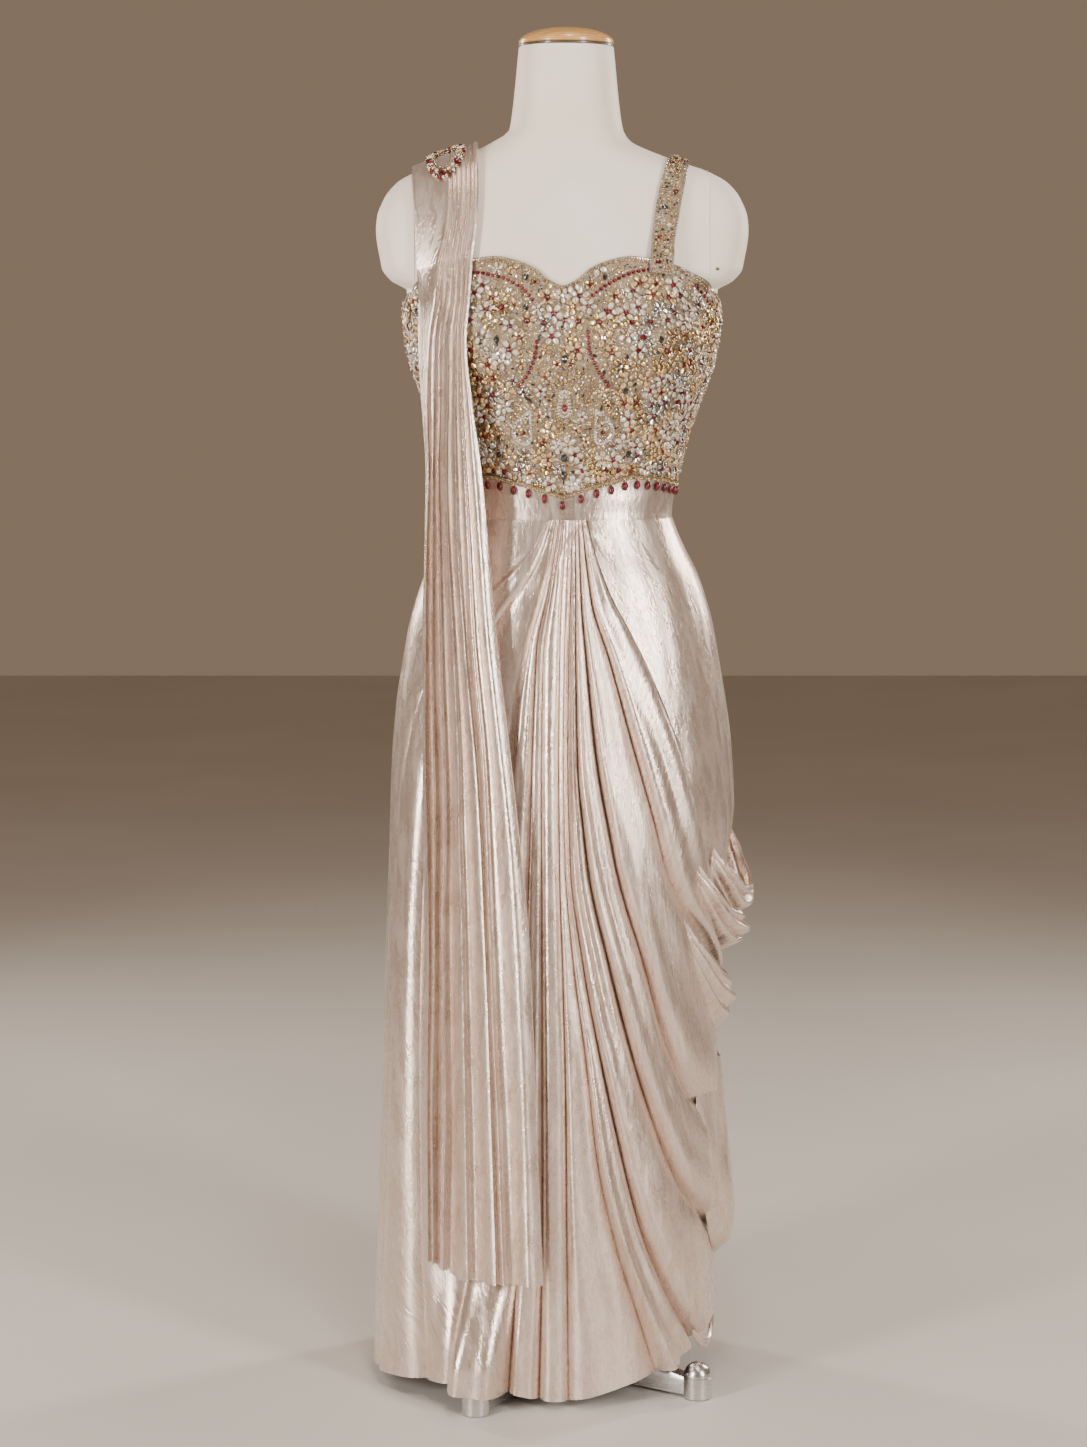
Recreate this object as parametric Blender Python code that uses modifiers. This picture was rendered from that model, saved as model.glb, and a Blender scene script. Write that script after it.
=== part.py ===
"""A saree gown on a limbless dress form, built from the pieces that a maker would cut and sew.

Metres, +Z up. The front faces -Y, the wearer's left is at +X and the floor is at z = 0.
A turn is an angle round the body in degrees: 0 at the centre front, 90 at the wearer's left.
"""

from collections import namedtuple

import bmesh
import bpy
import numpy as np

CLOTH = 0.0022  # thickness of the cloth walls, measured square to the body
BEADED = 0.0024  # thickness of the beaded bodice panels before their raised beadwork
BOSS = 0.0012  # height of the raised beadwork
EASE = 0.0018  # space between the form and the cloth that fits it
SEAM = 0.0003  # space between two pieces that are sewn together
ROUNDNESS = 2.25  # power of the rounded oval that every level section is
SEAM_TURN = 96.0  # turn of the side seams of the skirt
CLOSURE_TURN = 179.9  # turn at which the back pieces end, each side of the centre back
STEEPEST = 0.42  # greatest rise of a fold as a share of its width

Section = namedtuple("Section", "height left right front back")


def even(height, half, front, back):
    """A level section as wide to the left as to the right."""
    return Section(height, half, half, front, back)


NECK_SHIFT = 0.0045  # the neck stands this far towards the wearer's left
FIGURE = (
    even(0.795, 0.150, 0.086, 0.102),
    even(0.812, 0.166, 0.099, 0.117),
    even(0.860, 0.1735, 0.106, 0.124),
    even(0.900, 0.169, 0.107, 0.122),
    even(0.945, 0.154, 0.105, 0.113),
    even(0.985, 0.136, 0.099, 0.098),
    even(1.020, 0.1235, 0.094, 0.085),
    even(1.050, 0.1265, 0.094, 0.081),
    even(1.100, 0.1375, 0.101, 0.084),
    even(1.150, 0.1535, 0.112, 0.089),
    even(1.200, 0.171, 0.122, 0.095),
    even(1.235, 0.1775, 0.122, 0.099),
    even(1.283, 0.180, 0.113, 0.101),
    even(1.306, 0.184, 0.108, 0.101),
    even(1.340, 0.190, 0.097, 0.098),
    even(1.365, 0.192, 0.088, 0.093),
    even(1.386, 0.190, 0.080, 0.088),
    even(1.402, 0.183, 0.073, 0.083),
    even(1.414, 0.168, 0.067, 0.078),
    even(1.426, 0.138, 0.061, 0.073),
    even(1.438, 0.104, 0.057, 0.069),
    even(1.450, 0.079, 0.0555, 0.066),
    Section(1.462, 0.0615, 0.0705, 0.0560, 0.0660),
    Section(1.480, 0.0580, 0.0670, 0.0550, 0.0620),
    Section(1.556, 0.0500, 0.0590, 0.0545, 0.0545),
)
SKIRT = (
    Section(0.000, 0.2205, 0.1620, 0.1490, 0.1865),
    Section(0.120, 0.2170, 0.1660, 0.1460, 0.1790),
    Section(0.250, 0.2120, 0.1710, 0.1420, 0.1690),
    Section(0.380, 0.2070, 0.1750, 0.1370, 0.1590),
    Section(0.500, 0.2030, 0.1775, 0.1320, 0.1500),
    Section(0.560, 0.2010, 0.1810, 0.1295, 0.1460),
    Section(0.620, 0.1990, 0.1900, 0.1270, 0.1420),
    Section(0.680, 0.1970, 0.1975, 0.1240, 0.1385),
    Section(0.740, 0.1940, 0.1945, 0.1210, 0.1360),
    Section(0.800, 0.1890, 0.1885, 0.1180, 0.1330),
    Section(0.860, 0.1800, 0.1800, 0.1150, 0.1300),
    Section(0.900, 0.1725, 0.1725, 0.1125, 0.1260),
    Section(0.945, 0.1585, 0.1585, 0.1095, 0.1170),
    Section(0.985, 0.1400, 0.1400, 0.1030, 0.1015),
    Section(1.020, 0.1265, 0.1265, 0.0967, 0.0880),
)
BUST_HEIGHT = 1.215
BUST_RISE = 0.009
Stub = namedtuple("Stub", "height rise")
ARM_STUB = (
    Stub(1.282, 0.0),
    Stub(1.292, 0.017),
    Stub(1.306, 0.0245),
    Stub(1.340, 0.0245),
    Stub(1.365, 0.0215),
    Stub(1.386, 0.0150),
    Stub(1.402, 0.0090),
    Stub(1.414, 0.0040),
    Stub(1.426, 0.0),
)
ARM_STUB_START = 46.0  # turn at which the stub of the arm begins to stand out
ARM_STUB_FULL = 73.0

# Edges of the bodice, as heights read at turns round one side
Edge = namedtuple("Edge", "turn height")
NECKLINE = (
    Edge(0, 1.281),
    Edge(4, 1.289),
    Edge(8, 1.3015),
    Edge(14, 1.310),
    Edge(21, 1.3145),
    Edge(30, 1.312),
    Edge(42, 1.305),
    Edge(52, 1.296),
    Edge(62, 1.287),
    Edge(75, 1.275),
    Edge(90, 1.263),
    Edge(120, 1.252),
    Edge(180, 1.249),
)
BODICE_HEM = (
    Edge(0, 1.044),
    Edge(6, 1.050),
    Edge(14, 1.0565),
    Edge(24, 1.062),
    Edge(34, 1.0675),
    Edge(50, 1.066),
    Edge(75, 1.060),
    Edge(110, 1.058),
    Edge(180, 1.058),
)
Princess = namedtuple("Princess", "height turn")
PRINCESS_SEAM = (
    Princess(1.040, 28),
    Princess(1.120, 21),
    Princess(1.170, 17),
    Princess(1.230, 12),
    Princess(1.320, 12),
)
UNDERARM_TURN = 94.0
WAIST_SEAM = 1.020
SKIRT_TOP = 1.018
WAISTBAND_FRONT_RIGHT = (-96, -85, -74, -63, -52, -42, -33, -25, -18, -12, -7, -3, 0, 2, 4.4)
WAISTBAND_FRONT_LEFT = (4.64, 7, 12, 18, 25, 33, 42, 52, 63, 74, 85, 96)
WAISTBAND_BACK = (96.5, 110, 124, 138, 152, 166, 180, 194, 208, 222, 236, 250, 263.5)

# Folds of the front drape. Each row is the valley beside a fold, by places (across, height) from
# the knot down; SIDE is the side seam. The rises are those of the fold that follows the valley.
SIDE = 9.0
Fold = namedtuple("Fold", "name top middle end lift columns route")
FOLDS = (
    Fold("side seam", 0.002, 0.004, 0.003, 0.0, 6,
         ((-SIDE, 1.02), (-SIDE, 0.94), (-SIDE, 0.86), (-SIDE, 0.74), (-SIDE, 0.50), (-SIDE, 0.25),
          (-SIDE, 0.012))),
    Fold("hip ease", 0.002, 0.009, 0.011, 0.0, 3,
         ((-0.016, 1.02), (-0.042, 0.978), (-0.080, 0.940), (-0.130, 0.880), (-0.170, 0.79),
          (-0.188, 0.65), (-0.197, 0.40), (-0.212, 0.014))),
    Fold("long ease", 0.002, 0.006, 0.006, 0.0, 3,
         ((-0.012, 1.02), (-0.030, 0.968), (-0.073, 0.905), (-0.120, 0.82), (-0.150, 0.71),
          (-0.162, 0.53), (-0.164, 0.29), (-0.156, 0.022))),
    Fold("first pleat", 0.003, 0.010, 0.048, 0.020, 6,
         ((-0.007, 1.02), (-0.021, 0.94), (-0.037, 0.882), (-0.048, 0.82), (-0.056, 0.75),
          (-0.070, 0.63), (-0.084, 0.47), (-0.102, 0.235), (-0.122, 0.026))),
    Fold("second pleat", 0.003, 0.009, 0.014, 0.010, 3,
         ((-0.003, 1.02), (-0.017, 0.935), (-0.029, 0.875), (-0.033, 0.79), (-0.036, 0.69),
          (-0.040, 0.55), (-0.046, 0.35), (-0.053, 0.14), (-0.060, 0.020))),
    Fold("third pleat", 0.003, 0.010, 0.016, 0.0, 3,
         ((0.0005, 1.02), (-0.012, 0.935), (-0.022, 0.86), (-0.024, 0.75), (-0.0235, 0.60),
          (-0.023, 0.40), (-0.023, 0.2), (-0.0265, 0.010))),
    Fold("centre pleat", 0.003, 0.006, 0.012, 0.0, 3,
         ((0.004, 1.02), (-0.001, 0.93), (-0.003, 0.86), (-0.004, 0.75), (-0.003, 0.63),
          (0.001, 0.49), (0.004, 0.35), (0.005, 0.2), (0.007, 0.008))),
    Fold("low sweep", 0.003, 0.008, 0.013, 0.0, 3,
         ((0.0075, 1.02), (0.004, 0.93), (0.002, 0.86), (0.001, 0.75), (0.003, 0.63),
          (0.013, 0.51), (0.026, 0.41), (0.040, 0.285), (0.060, 0.19), (0.084, 0.11),
          (0.106, 0.034))),
    Fold("long sweep", 0.003, 0.009, 0.013, 0.0, 3,
         ((0.011, 1.02), (0.009, 0.93), (0.007, 0.86), (0.006, 0.75), (0.009, 0.63),
          (0.024, 0.51), (0.042, 0.41), (0.068, 0.285), (0.088, 0.205), (0.114, 0.13),
          (0.144, 0.060))),
    Fold("knee sweep", 0.003, 0.012, 0.012, 0.0, 3,
         ((0.0145, 1.02), (0.015, 0.93), (0.015, 0.86), (0.017, 0.75), (0.028, 0.63),
          (0.053, 0.51), (0.079, 0.405), (0.110, 0.305), (0.134, 0.245), (0.157, 0.205),
          (SIDE, 0.150))),
    Fold("thigh sweep", 0.003, 0.012, 0.005, 0.0, 3,
         ((0.018, 1.02), (0.021, 0.93), (0.027, 0.86), (0.038, 0.75), (0.059, 0.63),
          (0.092, 0.51), (0.116, 0.42), (0.141, 0.356), (0.164, 0.325), (SIDE, 0.28))),
    Fold("hip sweep", 0.003, 0.010, 0.004, 0.0, 3,
         ((0.0215, 1.02), (0.032, 0.93), (0.053, 0.86), (0.083, 0.75), (0.112, 0.64),
          (0.133, 0.580), (0.160, 0.535), (SIDE, 0.47))),
    Fold("top edge", 0.0, 0.0, 0.0, 0.004, 0,
         ((0.025, 1.02), (0.0475, 0.945), (0.0905, 0.86), (0.125, 0.776), (0.154, 0.673),
          (0.171, 0.59), (SIDE, 0.50))),
)
DRAPE_ROWS = 17
FLARED = ("first pleat", "second pleat")  # these swing out over the front foot
FLARE_TOP = 0.170  # height at which they start to
FLARE_FULL = 0.050  # and height at which they are fully out

# The pallu: seven pleat ridges between its two edges, on the shoulder by lean and then by height
PALLU_GAP = 0.0048
BODICE_CLEARANCE = 0.0055
Lean = namedtuple("Lean", "lean left first last right rise")
PALLU_SHOULDER = (
    Lean(-106, -0.156, -0.123, -0.101, -0.098, 0.0018),
    Lean(-84, -0.158, -0.124, -0.100, -0.097, 0.0018),
    Lean(-60, -0.163, -0.127, -0.099, -0.096, 0.0020),
    Lean(-35, -0.167, -0.1285, -0.097, -0.0945, 0.0022),
    Lean(0, -0.170, -0.1285, -0.0965, -0.094, 0.0024),
    Lean(32, -0.166, -0.1265, -0.0965, -0.0935, 0.0026),
    Lean(66, -0.162, -0.1360, -0.1020, -0.0985, 0.0028),
)
Hang = namedtuple("Hang", "height left p1 p2 p3 p4 p5 p6 p7 right y_left y_right rise")
PALLU_HANG = (
    Hang(0.150, -0.1615, -0.1545, -0.1475, -0.137, -0.1085, -0.0755, -0.0675, -0.0375, -0.0215,
         -0.128, -0.179, 0.014),
    Hang(0.308, -0.162, -0.1555, -0.149, -0.135, -0.111, -0.081, -0.073, -0.041, -0.0285,
         -0.113, -0.163, 0.013),
    Hang(0.526, -0.159, -0.1525, -0.146, -0.1345, -0.114, -0.0885, -0.081, -0.050, -0.0365,
         -0.103, -0.152, 0.011),
    Hang(0.715, -0.160, -0.1565, -0.145, -0.133, -0.1175, -0.0975, -0.0885, -0.0645, -0.0545,
         -0.095, -0.142, 0.009),
    Hang(0.889, -0.1595, -0.156, -0.148, -0.1385, -0.125, -0.112, -0.101, -0.0835, -0.0745,
         -0.087, -0.130, 0.007),
    Hang(1.066, -0.156, -0.1525, -0.1478, -0.1405, -0.132, -0.120, -0.1095, -0.0985, -0.0905,
         -0.078, -0.124, 0.005),
    Hang(1.143, -0.160, -0.1545, -0.146, -0.138, -0.1305, -0.121, -0.113, -0.1045, -0.100,
         -0.073, -0.1238, 0.004),
    Hang(1.219, -0.164, -0.151, -0.144, -0.137, -0.1295, -0.121, -0.1145, -0.1105, -0.1075,
         -0.067, -0.1222, 0.003),
    Hang(1.270, -0.163, -0.143, -0.136, -0.1295, -0.1233, -0.1166, -0.111, -0.107, -0.1035,
         -0.068, -0.115, 0.003),
)
PALLU_HEM = ((-0.165, 0.174), (-0.145, 0.166), (-0.120, 0.153), (-0.06, 0.152), (-0.02, 0.153))
PALLU_BOW = 0.010

# The strap: its centre line over the shoulder by lean, front first
Strap = namedtuple("Strap", "lean across width out")
STRAP = (
    Strap(75, 0.1085, 0.026, 0.0058),
    Strap(64, 0.1100, 0.025, 0.0056),
    Strap(50, 0.1130, 0.025, 0.0024),
    Strap(36, 0.1180, 0.026, 0.0022),
    Strap(0, 0.1350, 0.022, 0.0022),
    Strap(-36, 0.1300, 0.024, 0.0022),
    Strap(-78, 0.1150, 0.024, 0.0024),
    Strap(-94, 0.1090, 0.026, 0.0056),
    Strap(-106, 0.1060, 0.026, 0.0058),
)
SHOULDER_HEIGHT = 1.27  # height of the line that the leans are measured round

PATCH_ACROSS = -0.130
PATCH_HALF_WIDTH = 0.0195
PATCH_LEAN = 13.0
PATCH_HALF_LEAN = 14.0
PATCH_BEAD = 0.0042

DROPS = 48
DROP_LENGTH = 0.0125
DROP_BULGE = 0.0035
EDGING_STRIP = 0.0040

# The side drapes at the wearer's left: loops of cloth over the side of the skirt. The top edge of
# each runs from its front end to its back end and sags between them.
Drape = namedtuple("Drape", "name front back front_height back_height sag depth bulge front_seat back_seat profile")
SIDE_DRAPES = (
    Drape("side_cowl_upper", 66, 117, 0.586, 0.690, 0.052, 0.058, 0.036, 0.0106, 0.0036,
          ((0, 0.82), (0.3, 1.0), (0.65, 0.8), (1, 0.10))),
    Drape("side_cowl_middle", 62, 112, 0.520, 0.545, 0.020, 0.046, 0.029, 0.0088, 0.0066,
          ((0, 0.75), (0.35, 1.0), (0.7, 0.75), (1, 0.10))),
    Drape("side_cowl_lower", 52, 108, 0.480, 0.470, 0.020, 0.056, 0.020, 0.0096, 0.0068,
          ((0, 0.75), (0.35, 1.0), (0.7, 0.7), (1, 0.10))),
    Drape("side_fold", 70, 108, 0.385, 0.380, 0.006, 0.232, 0.026, 0.0112, 0.0084,
          ((0, 0.12), (0.4, 0.45), (0.78, 1.0), (1, 0.80))),
    Drape("hem_cowl", 57, 103, 0.074, 0.180, 0.060, 0.020, 0.006, 0.0147, 0.0070,
          ((0, 0.6), (0.5, 1.0), (1, 0.4))),
)

# The stand
STAND_X, STAND_Y = 0.001, -0.018
FOOT_REACH = 0.186
FOOT_TURNS = (("front_right", 237.5), ("front_left", 327.5), ("back_left", 57.5),
              ("back_right", 147.5))
FOOT_RADIUS = 0.0165
FOOT_HEIGHT = 0.042
FOOT_SHOULDER = 0.026
LEG_HALF_WIDTH = 0.010
LEG_CLEARANCE = 0.003
LEG_TOP_AT_FOOT = 0.0255
LEG_TOP_AT_HUB = 0.052
HUB_RADIUS = 0.030
HUB_TOP = 0.070
POLE_RADIUS = 0.0125

CAP_RADIUS = 0.0545
RIM_BOTTOM = 1.5563
RIM_TOP = 1.5593
CAP_TOP = 1.579

collection = None


def clear_scene():
    """Empties the startup scene."""
    for thing in list(bpy.data.objects):
        bpy.data.objects.remove(thing)


def new_collection(name):
    """A collection of that name in the scene."""
    made = bpy.data.collections.new(name)
    bpy.context.scene.collection.children.link(made)
    return made


def material(name, colour, roughness, metallic):
    """A plain Principled material."""
    made = bpy.data.materials.new(name)
    made.use_nodes = True
    shader = made.node_tree.nodes["Principled BSDF"]
    shader.inputs["Base Color"].default_value = (*colour, 1.0)
    shader.inputs["Roughness"].default_value = roughness
    shader.inputs["Metallic"].default_value = metallic
    return made


def smooth_curve(stations, values, at):
    """Values read between stations on a smooth curve that never overshoots them."""
    stations = np.asarray(stations, float)
    values = np.asarray(values, float)
    gaps = np.diff(stations)
    slopes = np.diff(values) / gaps
    tangents = np.zeros(len(values))
    tangents[0] = slopes[0]
    tangents[-1] = slopes[-1]
    product = slopes[:-1] * slopes[1:]
    same_way = product > 0
    total = np.where(same_way, slopes[:-1] + slopes[1:], 1.0)
    tangents[1:-1] = np.where(same_way, 2 * product / total, 0.0)
    at = np.clip(at, stations[0], stations[-1])
    span = np.clip(np.searchsorted(stations, at, side="right") - 1, 0, len(gaps) - 1)
    gap = gaps[span]
    t = (at - stations[span]) / gap
    start = values[span] * (1 + 2 * t) * (1 - t) ** 2 + tangents[span] * gap * t * (1 - t) ** 2
    end = values[span + 1] * t**2 * (3 - 2 * t) + tangents[span + 1] * gap * t**2 * (t - 1)
    return start + end


def read(table, column, key, at):
    """A named column of a table, read smoothly along another."""
    return smooth_curve([getattr(row, key) for row in table], [getattr(row, column) for row in table],
                        at)


def bust(turn, height):
    """How far the cups stand out beyond the plain section."""
    level = np.exp(-((height - BUST_HEIGHT) / 0.045) ** 2)
    cups = np.exp(-((np.abs(turn) - 30) / 17) ** 2) - 0.45 * np.exp(-((turn / 9) ** 2))
    return BUST_RISE * level * cups


def arm_stub(turn, height):
    """How far the stubs of the arms stand out beyond the plain section."""
    share = np.clip((np.abs(turn) - ARM_STUB_START) / (ARM_STUB_FULL - ARM_STUB_START), 0, 1)
    back = np.clip((180 - np.abs(turn) - ARM_STUB_START) / (ARM_STUB_FULL - ARM_STUB_START), 0, 1)
    share = np.where(np.abs(turn) > 90, back, share)
    return read(ARM_STUB, "rise", "height", height) * share**2 * (3 - 2 * share)


def extents(table, side, facing, height):
    """The half width and the depth of a section on the side that these signs choose."""
    half = np.where(side < 0, read(table, "left", "height", height),
                    read(table, "right", "height", height))
    depth = np.where(facing < 0, read(table, "front", "height", height),
                     read(table, "back", "height", height))
    return half, depth


def ring(table, turn, height):
    """The point of a table's surface at a turn and a height."""
    turn, height = np.broadcast_arrays(np.asarray(turn, float), np.asarray(height, float))
    sine = np.sin(np.radians(turn))
    cosine = np.cos(np.radians(turn))
    half, depth = extents(table, sine, -cosine, height)
    power = 2 / ROUNDNESS
    x = np.sign(sine) * half * np.abs(sine) ** power
    y = -np.sign(cosine) * depth * np.abs(cosine) ** power
    if table is FIGURE:
        grown = 1 + (bust(turn, height) + arm_stub(turn, height)) / np.hypot(x, y)
        x = x * grown
        y = y * grown
    return np.stack([x, y, height], axis=-1)


def unit(vectors):
    return vectors / np.linalg.norm(vectors, axis=-1, keepdims=True)


def surface(table, turn, height, out=0.0):
    """The point that lies a distance out from a table's surface, square to it."""
    turn, height = np.broadcast_arrays(np.asarray(turn, float), np.asarray(height, float))
    along = ring(table, turn + 0.5, height) - ring(table, turn - 0.5, height)
    up = ring(table, turn, height + 0.002) - ring(table, turn, height - 0.002)
    out = np.broadcast_to(out, turn.shape)[..., None]
    return ring(table, turn, height) + out * unit(np.cross(along, up))


def turn_at(table, across, height):
    """The turn at which the front of a section is a distance across from the middle."""
    half, _ = extents(table, across, -1, height)
    share = np.clip(np.abs(across) / half, 0, 1) ** (ROUNDNESS / 2)
    turn = np.degrees(np.arcsin(share))
    return np.sign(across) * np.where(np.abs(across) >= SIDE, SEAM_TURN, turn)


def new_mesh(name, points, faces, coat):
    """An object of these points and faces, turned so that its faces look outwards."""
    mesh = bpy.data.meshes.new(name)
    mesh.from_pydata([tuple(point) for point in points], [], faces)
    cage = bmesh.new()
    cage.from_mesh(mesh)
    bmesh.ops.recalc_face_normals(cage, faces=cage.faces)
    if cage.calc_volume(signed=True) < 0:
        bmesh.ops.reverse_faces(cage, faces=cage.faces)
    cage.to_mesh(mesh)
    cage.free()
    mesh.materials.append(coat)
    mesh.shade_smooth()
    made = bpy.data.objects.new(name, mesh)
    collection.objects.link(made)
    return made


def wall(name, inside, outside, coat):
    """A closed wall between two grids of points, each with a row for every level."""
    rows, columns = inside.shape[:2]
    points = np.concatenate([inside.reshape(-1, 3), outside.reshape(-1, 3)])
    over = rows * columns

    def corner(row, column, layer):
        return layer * over + row * columns + column

    faces = []
    for row in range(rows - 1):
        for column in range(columns - 1):
            square = ((row, column), (row, column + 1), (row + 1, column + 1), (row + 1, column))
            faces.append([corner(*place, 0) for place in square])
            faces.append([corner(*place, 1) for place in reversed(square)])
    edge = [(0, column) for column in range(columns)]
    edge += [(row, columns - 1) for row in range(1, rows)]
    edge += [(rows - 1, column) for column in range(columns - 2, -1, -1)]
    edge += [(row, 0) for row in range(rows - 2, 0, -1)]
    for place, following in zip(edge, edge[1:] + edge[:1]):
        faces.append([corner(*place, 0), corner(*following, 0), corner(*following, 1),
                      corner(*place, 1)])
    return new_mesh(name, points, faces, coat)


def loft(name, rings, coat):
    """A solid through closed rings, with a flat face at each end."""
    levels, around = rings.shape[:2]
    faces = [list(range(around)), list(range((levels - 1) * around, levels * around))]
    for level in range(levels - 1):
        for place in range(around):
            following = (place + 1) % around
            faces.append([level * around + place, level * around + following,
                          (level + 1) * around + following, (level + 1) * around + place])
    return new_mesh(name, rings.reshape(-1, 3), faces, coat)


def turned(name, profile, place, coat, steps=24):
    """A solid turned round an upright axis, from (radius, height) pairs, top to bottom."""
    mesh = bpy.data.meshes.new(name)
    points = [(radius, 0.0, height) for radius, height in profile]
    edges = [(step, step + 1) for step in range(len(points) - 1)]
    mesh.from_pydata(points, edges, [])
    mesh.materials.append(coat)
    made = bpy.data.objects.new(name, mesh)
    made.location = place
    collection.objects.link(made)
    screw = made.modifiers.new("Turn", "SCREW")
    screw.steps = steps
    screw.render_steps = steps
    screw.use_merge_vertices = True
    screw.merge_threshold = 0.00001
    screw.use_smooth_shade = True
    return made


def form_body(coat):
    """The padded body of the form, from the hips to the top of the neck."""
    heights = np.concatenate([
        [0.795, 0.803, 0.812, 0.836, 0.860, 0.885, 0.915],
        np.arange(0.945, 1.085, 0.015),
        [1.105, 1.140, 1.175, 1.205, 1.240, 1.282, 1.287, 1.292, 1.306, 1.340, 1.365],
        [1.386, 1.402, 1.414, 1.426, 1.438, 1.450, 1.462, 1.480, 1.556],
    ])
    turns = np.linspace(0, 360, 25)[:-1]
    turns = np.where(turns > 180, turns - 360, turns)
    loft("form_body", ring(FIGURE, turns[None, :], heights[:, None]), coat)


def form_cap(dark, wood):
    """The dark rim on the neck and the wooden cap above it."""
    rim = ((0.0, RIM_TOP), (CAP_RADIUS + 0.0005, RIM_TOP), (CAP_RADIUS + 0.0005, RIM_BOTTOM),
           (0.0, RIM_BOTTOM))
    turned("form_cap_rim", rim, (NECK_SHIFT, 0.0, 0.0), dark)
    bottom = RIM_TOP + SEAM
    cap = ((0.0, CAP_TOP), (0.018, CAP_TOP - 0.0006), (0.034, CAP_TOP - 0.0032),
           (0.046, CAP_TOP - 0.0080), (0.0525, CAP_TOP - 0.0130), (CAP_RADIUS, bottom + 0.003),
           (CAP_RADIUS, bottom), (0.0, bottom))
    turned("form_cap", cap, (NECK_SHIFT, 0.0, 0.0), wood)


def stand(steel):
    """The pole, its hub and four sloping legs, each with a domed foot."""
    hub = ((0.0, HUB_TOP), (0.017, HUB_TOP), (0.020, HUB_TOP - 0.003), (0.021, 0.058),
           (HUB_RADIUS, 0.054), (HUB_RADIUS, 0.006), (0.027, 0.003), (0.0, 0.003))
    turned("stand_hub", hub, (STAND_X, STAND_Y, 0.0), steel)
    top = FIGURE[0].height - SEAM
    pole = ((0.0, top), (POLE_RADIUS, top), (POLE_RADIUS, HUB_TOP + SEAM), (0.0, HUB_TOP + SEAM))
    turned("stand_pole", pole, (STAND_X, STAND_Y, 0.0), steel)
    for name, turn in FOOT_TURNS:
        leg(name, np.radians(turn), steel)


def leg(name, angle, steel):
    """One leg and its foot, joined as in one casting."""
    reach = np.array([np.cos(angle), np.sin(angle), 0.0])
    aside = np.array([-reach[1], reach[0], 0.0]) * LEG_HALF_WIDTH
    centre = np.array([STAND_X, STAND_Y, 0.0])
    dome = FOOT_HEIGHT - FOOT_SHOULDER
    profile = [(FOOT_RADIUS * np.sin(step), FOOT_SHOULDER + dome * np.cos(step))
               for step in np.radians((0, 22, 45, 68, 90))]
    profile += [(FOOT_RADIUS, 0.0), (0.0, 0.0)]
    profile[0] = (0.0, FOOT_HEIGHT)
    foot = turned("stand_leg_" + name, profile, tuple(centre + reach * FOOT_REACH), steel, 20)
    ends = []
    for distance, top in ((HUB_RADIUS + SEAM, LEG_TOP_AT_HUB), (FOOT_REACH, LEG_TOP_AT_FOOT - 0.003)):
        middle = centre + reach * distance
        low = np.array([0.0, 0.0, LEG_CLEARANCE])
        high = np.array([0.0, 0.0, top])
        ends.append([middle - aside + low, middle + aside + low, middle + 0.8 * aside + high,
                     middle - 0.8 * aside + high])
    bar = loft("leg_bar_" + name, np.array(ends), steel)
    collection.objects.unlink(bar)
    helpers.objects.link(bar)
    bar.hide_render = True
    bar.display_type = "WIRE"
    joined = foot.modifiers.new("Join the bar", "BOOLEAN")
    joined.operation = "UNION"
    joined.object = bar


def bodice_panel(name, left_edge, right_edge, columns, rows, coat):
    """A beaded panel between two turns, each given by height, with its bosses raised outside."""
    share = np.linspace(0, 1, columns)[None, :]
    down = np.linspace(1, 0, rows)[:, None]
    turn = left_edge(1.15) + (right_edge(1.15) - left_edge(1.15)) * share + 0 * down
    for _ in range(3):
        top = read(NECKLINE, "height", "turn", np.abs(turn))
        hem = read(BODICE_HEM, "height", "turn", np.abs(turn))
        height = hem + (top - hem) * down
        turn = left_edge(height) + (right_edge(height) - left_edge(height)) * share
    row, column = np.indices(height.shape)
    raised = BOSS * ((row + column) % 2)
    raised[0] = raised[-1] = BOSS / 2
    inside = surface(FIGURE, turn, height, EASE)
    outside = surface(FIGURE, turn, height, EASE + BEADED + raised)
    wall(name, inside, outside, coat)


def bodice(coat):
    """Three front panels and two back panels, a seam's width apart."""
    gap = 0.10

    def princess(side, offset):
        return lambda height: side * read(PRINCESS_SEAM, "turn", "height", height) + offset

    def upright(turn):
        return lambda height: turn + 0 * np.asarray(height)

    bodice_panel("bodice_front_centre", princess(-1, gap), princess(1, -gap), 9, 19, coat)
    bodice_panel("bodice_front_left", princess(1, gap), upright(UNDERARM_TURN), 11, 16, coat)
    bodice_panel("bodice_front_right", upright(-UNDERARM_TURN), princess(-1, -gap), 11, 16, coat)
    bodice_panel("bodice_back_left", upright(UNDERARM_TURN + gap * 3), upright(CLOSURE_TURN), 9, 12,
                 coat)
    bodice_panel("bodice_back_right", upright(-CLOSURE_TURN), upright(-UNDERARM_TURN - gap * 3), 9,
                 12, coat)


def waistband(coat):
    """The plain band between the skirt and the beaded hem, seamed at the centre front."""
    pieces = (
        ("waistband_front_right", WAISTBAND_FRONT_RIGHT),
        ("waistband_front_left", WAISTBAND_FRONT_LEFT),
        ("waistband_back", WAISTBAND_BACK),
    )
    down = np.linspace(1, 0, 3)[:, None]
    bottom = WAIST_SEAM + SEAM
    for name, turns in pieces:
        turn = np.array(turns, float)[None, :] + 0 * down
        around = np.where(turn > 180, 360 - turn, np.abs(turn))
        top = read(BODICE_HEM, "height", "turn", around) - 2 * SEAM
        height = bottom + (top - bottom) * down
        wall(name, surface(FIGURE, turn, height, EASE), surface(FIGURE, turn, height, EASE + CLOTH),
             coat)


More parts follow.
